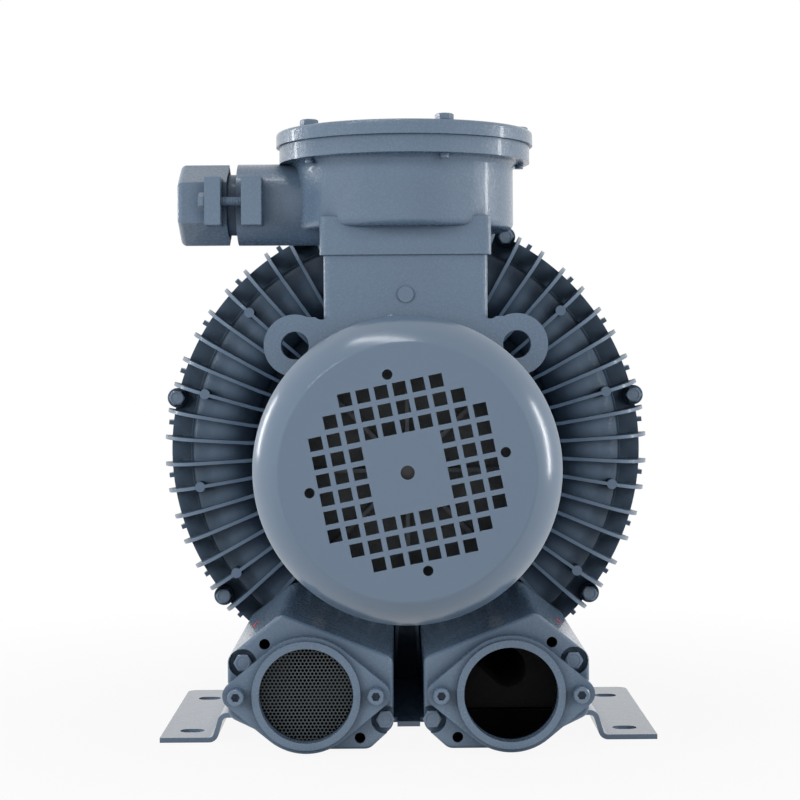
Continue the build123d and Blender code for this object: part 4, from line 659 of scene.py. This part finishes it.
def aroundShaft(pitch, angles, y):
    return [(pitch * math.cos(math.radians(angle)), y, axisHeight + pitch * math.sin(math.radians(angle)))
            for angle in angles]


def bothSides(spots, y):
    return [(side * x, y, z) for side in (-1, 1) for x, z in spots]


def lidSpots(s):
    turns = [math.radians(angle) for angle in s["angles"]]
    return [(s["pitch"] * math.sin(turn), s["centerY"] - s["pitch"] * math.cos(turn), s["z"])
            for turn in turns]


def makeHardware():
    setTree = makeSetTree()
    cowlSpots = aroundShaft(cowlScrews["radius"], cowlScrews["angles"], cowlScrews["y"])
    cowlFacings = [(spot[0], 0.0, spot[2] - axisHeight) for spot in cowlSpots]
    rows = [
        # piece, shape of its screw, screw size, shank length, points, facing of each, finish, CAD node
        ("lidScrew", hexScrewMesh, "hexM8", lidScrews["length"], lidSpots(lidScrews), up, "screwPaint",
         "lid_screws"),
        ("casingScrew", hexScrewMesh, "hexM8", casingScrews["length"],
         aroundShaft(casingScrews["pitch"], casingScrews["angles"], casingScrews["y"]), front, "screwPaint",
         "casing_screws"),
        ("coverScrew", hexScrewMesh, "hexM8", coverScrews["length"],
         bothSides(coverScrews["spots"], coverScrews["y"]), front, "screwPaint", "cover_screws"),
        ("portScrew", capScrewMesh, "capM8", portScrews["length"],
         bothSides(portScrews["spots"], portScrews["y"]), front, "screwPaint", "port_flange_screws"),
        ("glandBolt", hexScrewMesh, "hexM8", glandBolts["length"],
         [(glandBolts["x"], y, z) for y, z in glandBolts["spots"]], left, "screwPaint", "gland_bolts"),
        ("cowlScrew", capScrewMesh, "capM5", cowlScrews["length"], cowlSpots, cowlFacings, "screwPaint",
         "cowl_screws"),
        ("footScrew", hexScrewMesh, "hexM10", footScrews["length"],
         [(x, y, footScrews["z"]) for x, y in footScrews["spots"]], down, "zincSteel", "foot_screws"),
    ]
    for screw, makeMesh, size, length, points, facing, finish, node in rows:
        name = screw + "Set"
        holder = shapeHolder(name + "Shape", makeMesh(screw, hardware[size], length))
        facings = facing if isinstance(facing, list) else [facing] * len(points)
        values = {"Shape": holder, "Material": bpy.data.materials[finish]}
        piece = growPiece(name, setTree, values, points, facings)
        bpy.data.objects.remove(holder)
        smoothByAngle(piece)
        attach(piece, "machine")
        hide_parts(node)
    print("hardware made:", len(rows), "sets")


makeHardware()

screen = {"center": (-0.080, -0.15175, 0.049), "radius": 0.0372, "pitch": 0.0030, "hole": 0.00118,
          "thick": 0.0010, "rows": 34, "rimWidth": 0.0018, "rimHalfDepth": 0.0007, "rimRadius": 0.0386,
          "rimSides": 96, "sides": 12}


def makeScreen(s):
    # one hexagonal cell with a round hole, its outer walls left open because cells join there
    cell = bmesh.new()
    count = s["sides"]
    flats = s["pitch"]
    rings = []
    for radiusAt, y in (
        (lambda turn: s["hole"], s["thick"] / 2), (lambda turn: s["hole"], -s["thick"] / 2),
        (lambda turn: hexRadius(flats, turn + math.pi / 6), -s["thick"] / 2 + 0.0001),
        (lambda turn: hexRadius(flats, turn + math.pi / 6), s["thick"] / 2 - 0.0001),
    ):
        ring = []
        for index in range(count):
            turn = 2 * math.pi * index / count
            radius = radiusAt(turn)
            ring.append(cell.verts.new((radius * math.cos(turn), y, radius * math.sin(turn))))
        rings.append(ring)
    linkRings(cell, rings[:3])
    linkRings(cell, [rings[3], rings[0]])
    holder = shapeHolder("screenCellShape", finishShape(cell, "screenCell"))
    sheet = growPiece("inletMesh", makeScreenTree(), {
        "Cell": holder, "Pitch": s["pitch"], "Radius": s["radius"], "Rows": s["rows"], "Center": s["center"],
        "Material": bpy.data.materials["meshSteel"]})
    bpy.data.objects.remove(holder)
    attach(sheet, "machine")
    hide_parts("inlet_screen")
    rim = bmesh.new()
    rings = []
    outer, inner, half = s["rimRadius"], s["rimRadius"] - s["rimWidth"], s["rimHalfDepth"]
    middleX, middleY, middleZ = s["center"]
    for radius, y in ((inner, -half), (outer, -half), (outer, half), (inner, half), (inner, -half)):
        turns = [2 * math.pi * index / s["rimSides"] for index in range(s["rimSides"])]
        rings.append([rim.verts.new((middleX + radius * math.cos(turn), middleY + y,
                                     middleZ + radius * math.sin(turn))) for turn in turns])
    linkRings(rim, rings)
    bmesh.ops.remove_doubles(rim, verts=rim.verts, dist=0.000001)
    band = bpy.data.objects.new("meshRim", finishShape(rim, "meshRim"))
    scene.collection.objects.link(band)
    band.data.materials.append(bpy.data.materials["meshSteel"])
    smoothByAngle(band)
    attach(band, "machine")
    print("inlet mesh has", len(sheet.data.polygons), "faces")


makeScreen(screen)

flowMarks = {"thickness": 0.0002, "lift": 0.00002, "length": 0.020, "width": 0.0095, "headShare": 0.42,
             "shaftShare": 0.38, "acrossX": 0.042, "acrossZ": -0.034, "spots": [
    # middle on the sloping side, side, which way the arrow points along the machine
    ((-0.1270, -0.062, 0.0902), -1, 1), ((0.1258, -0.062, 0.0912), 1, -1)]}


def makeFlowMarks(s):
    # two plain arrows, one into and one out of the machine
    half, width, head = s["length"] / 2, s["width"] / 2, s["length"] * s["headShare"]
    stem = width * s["shaftShare"]
    outline = [(-half, -stem), (half - head, -stem), (half - head, -width), (half, 0.0),
               (half - head, width), (half - head, stem), (-half, stem)]
    slope = Vector((s["acrossX"], 0.0, s["acrossZ"])).normalized()
    marks = bmesh.new()
    for spot, side, way in s["spots"]:
        across = Vector((side * slope.x, 0.0, slope.z))
        along = Vector((0.0, way, 0.0))
        out = Vector((side * -slope.z, 0.0, slope.x))
        layers = []
        for lift in (0.0, s["thickness"]):
            layers.append([marks.verts.new(Vector(spot) + along * u + across * v + out * (lift + s["lift"]))
                           for u, v in outline])
        marks.faces.new(layers[0])
        marks.faces.new(layers[1])
        linkRings(marks, layers)
    piece = bpy.data.objects.new("flowMarks", finishShape(marks, "flowMarks"))
    scene.collection.objects.link(piece)
    piece.data.materials.append(bpy.data.materials["redSticker"])
    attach(piece, "machine")
    print("flow marks made")


makeFlowMarks(flowMarks)

studio = {
    "floorSize": 14.0, "horizonX": 405.0, "horizonY": 352.0, "focalPixels": 1830.0, "frame": 800.0,
    "cameraX": -0.0065, "cameraY": -1.588, "cameraZ": 0.3165, "roll": 0.40, "yaw": -0.22,
    "lamps": [
        # name, place, target, size, watts, seen in gloss
        ("rightSoftbox", (2.0, -1.3, 0.75), (0.0, -0.05, 0.28), (1.1, 1.1), 22.0, False),
        ("leftSoftbox", (-2.0, -1.2, 0.75), (0.0, -0.05, 0.28), (1.1, 1.1), 26.0, False),
        ("frontFill", (0.0, -2.8, 1.0), (0.0, 0.0, 0.25), (1.4, 1.0), 4.0, False),
        ("rightStrip", (2.0, 0.1, 0.6), (0.0, -0.05, 0.38), (0.16, 1.1), 9.0, True),
        ("leftStrip", (-1.8, 0.8, 0.7), (0.0, -0.05, 0.38), (0.14, 0.8), 5.0, True),
        ("arcStrip", (-1.2, -1.6, 1.5), (0.0, -0.2, 0.25), (0.9, 0.09), 4.5, True),
        ("topStrip", (-0.3, -0.4, 1.8), (0.0, 0.0, 0.3), (1.0, 0.16), 4.0, True),
    ],
    "worldLight": 0.10, "floorTone": 0.60, "shadowReach": (0.25, 0.75), "shadowShare": 0.08,
}


def makeWhiteSight(tree, rays):
    # 1 for what the camera sees straight, in gloss or through glass
    first = addNode(tree, "ShaderNodeMath", {"operation": "MAXIMUM"},
                    {0: rays.outputs["Is Camera Ray"], 1: rays.outputs["Is Glossy Ray"]})
    return addNode(tree, "ShaderNodeMath", {"operation": "MAXIMUM"},
                   {0: first.outputs[0], 1: rays.outputs["Is Transmission Ray"]})


def makeFloor(s):
    floorMesh = bpy.data.meshes.new("floor")
    half = s["floorSize"] / 2
    floorMesh.from_pydata([(-half, -half, 0), (half, -half, 0), (half, half, 0), (-half, half, 0)], [],
                          [(0, 1, 2, 3)])
    floor = bpy.data.objects.new("floor", floorMesh)
    scene.collection.objects.link(floor)
    material, tree, shader = newMaterial("paleFloor")
    shader.inputs["Base Color"].default_value = (s["floorTone"], s["floorTone"], s["floorTone"], 1.0)
    shader.inputs["Roughness"].default_value = 0.9
    place = addNode(tree, "ShaderNodeTexCoord")
    far = addNode(tree, "ShaderNodeVectorMath", {"operation": "LENGTH"}, {0: place.outputs["Object"]})
    near, farthest = s["shadowReach"]
    fade = addNode(tree, "ShaderNodeMapRange",
                   {"From Min": near, "From Max": farthest, "To Min": 1.0 - s["shadowShare"], "To Max": 1.0},
                   {"Value": far.outputs["Value"]})
    sight = makeWhiteSight(tree, addNode(tree, "ShaderNodeLightPath"))
    share = addNode(tree, "ShaderNodeMath", {"operation": "MULTIPLY"},
                    {0: fade.outputs[0], 1: sight.outputs[0]})
    white = addNode(tree, "ShaderNodeEmission", {"Strength": 1.0})
    mixed = addNode(tree, "ShaderNodeMixShader", {},
                    {0: share.outputs[0], 1: shader.outputs[0], 2: white.outputs[0]})
    tree.links.new(mixed.outputs[0], tree.nodes["Material Output"].inputs["Surface"])
    floorMesh.materials.append(material)


def makeWorld(s):
    world = bpy.data.worlds.new("studio")
    scene.world = world
    world.use_nodes = True
    tree = world.node_tree
    tree.nodes.clear()
    sight = makeWhiteSight(tree, addNode(tree, "ShaderNodeLightPath"))
    light = addNode(tree, "ShaderNodeBackground", {"Strength": s["worldLight"]})
    light.inputs["Color"].default_value = (0.93, 0.96, 1.0, 1.0)
    white = addNode(tree, "ShaderNodeBackground", {"Strength": 1.0})
    white.inputs["Color"].default_value = (1.0, 1.0, 1.0, 1.0)
    mixed = addNode(tree, "ShaderNodeMixShader", {},
                    {0: sight.outputs[0], 1: light.outputs[0], 2: white.outputs[0]})
    end = addNode(tree, "ShaderNodeOutputWorld")
    tree.links.new(mixed.outputs[0], end.inputs["Surface"])


def makeLamps(s):
    for name, spot, target, size, watts, glossy in s["lamps"]:
        lamp = bpy.data.lights.new(name, "AREA")
        lamp.shape = "RECTANGLE"
        lamp.size, lamp.size_y = size
        lamp.energy = watts
        lampObject = bpy.data.objects.new(name, lamp)
        lampObject.location = spot
        lampObject.rotation_euler = (Vector(target) - Vector(spot)).to_track_quat("-Z", "Y").to_euler()
        lampObject.visible_glossy = glossy
        scene.collection.objects.link(lampObject)


def makeCamera(s):
    camera = bpy.data.cameras.new("camera")
    camera.sensor_width = 36.0
    camera.lens = s["focalPixels"] / s["frame"] * camera.sensor_width
    camera.shift_x = (s["frame"] / 2 - s["horizonX"]) / s["frame"]
    camera.shift_y = (s["horizonY"] - s["frame"] / 2) / s["frame"]
    cameraObject = bpy.data.objects.new("camera", camera)
    cameraObject.location = (s["cameraX"], s["cameraY"], s["cameraZ"])
    cameraObject.rotation_euler = (math.radians(90), math.radians(s["roll"]), math.radians(s["yaw"]))
    scene.collection.objects.link(cameraObject)
    scene.camera = cameraObject


makeFloor(studio)
makeWorld(studio)
makeLamps(studio)
makeCamera(studio)
scene.view_settings.view_transform = "Standard"
print("studio ready")
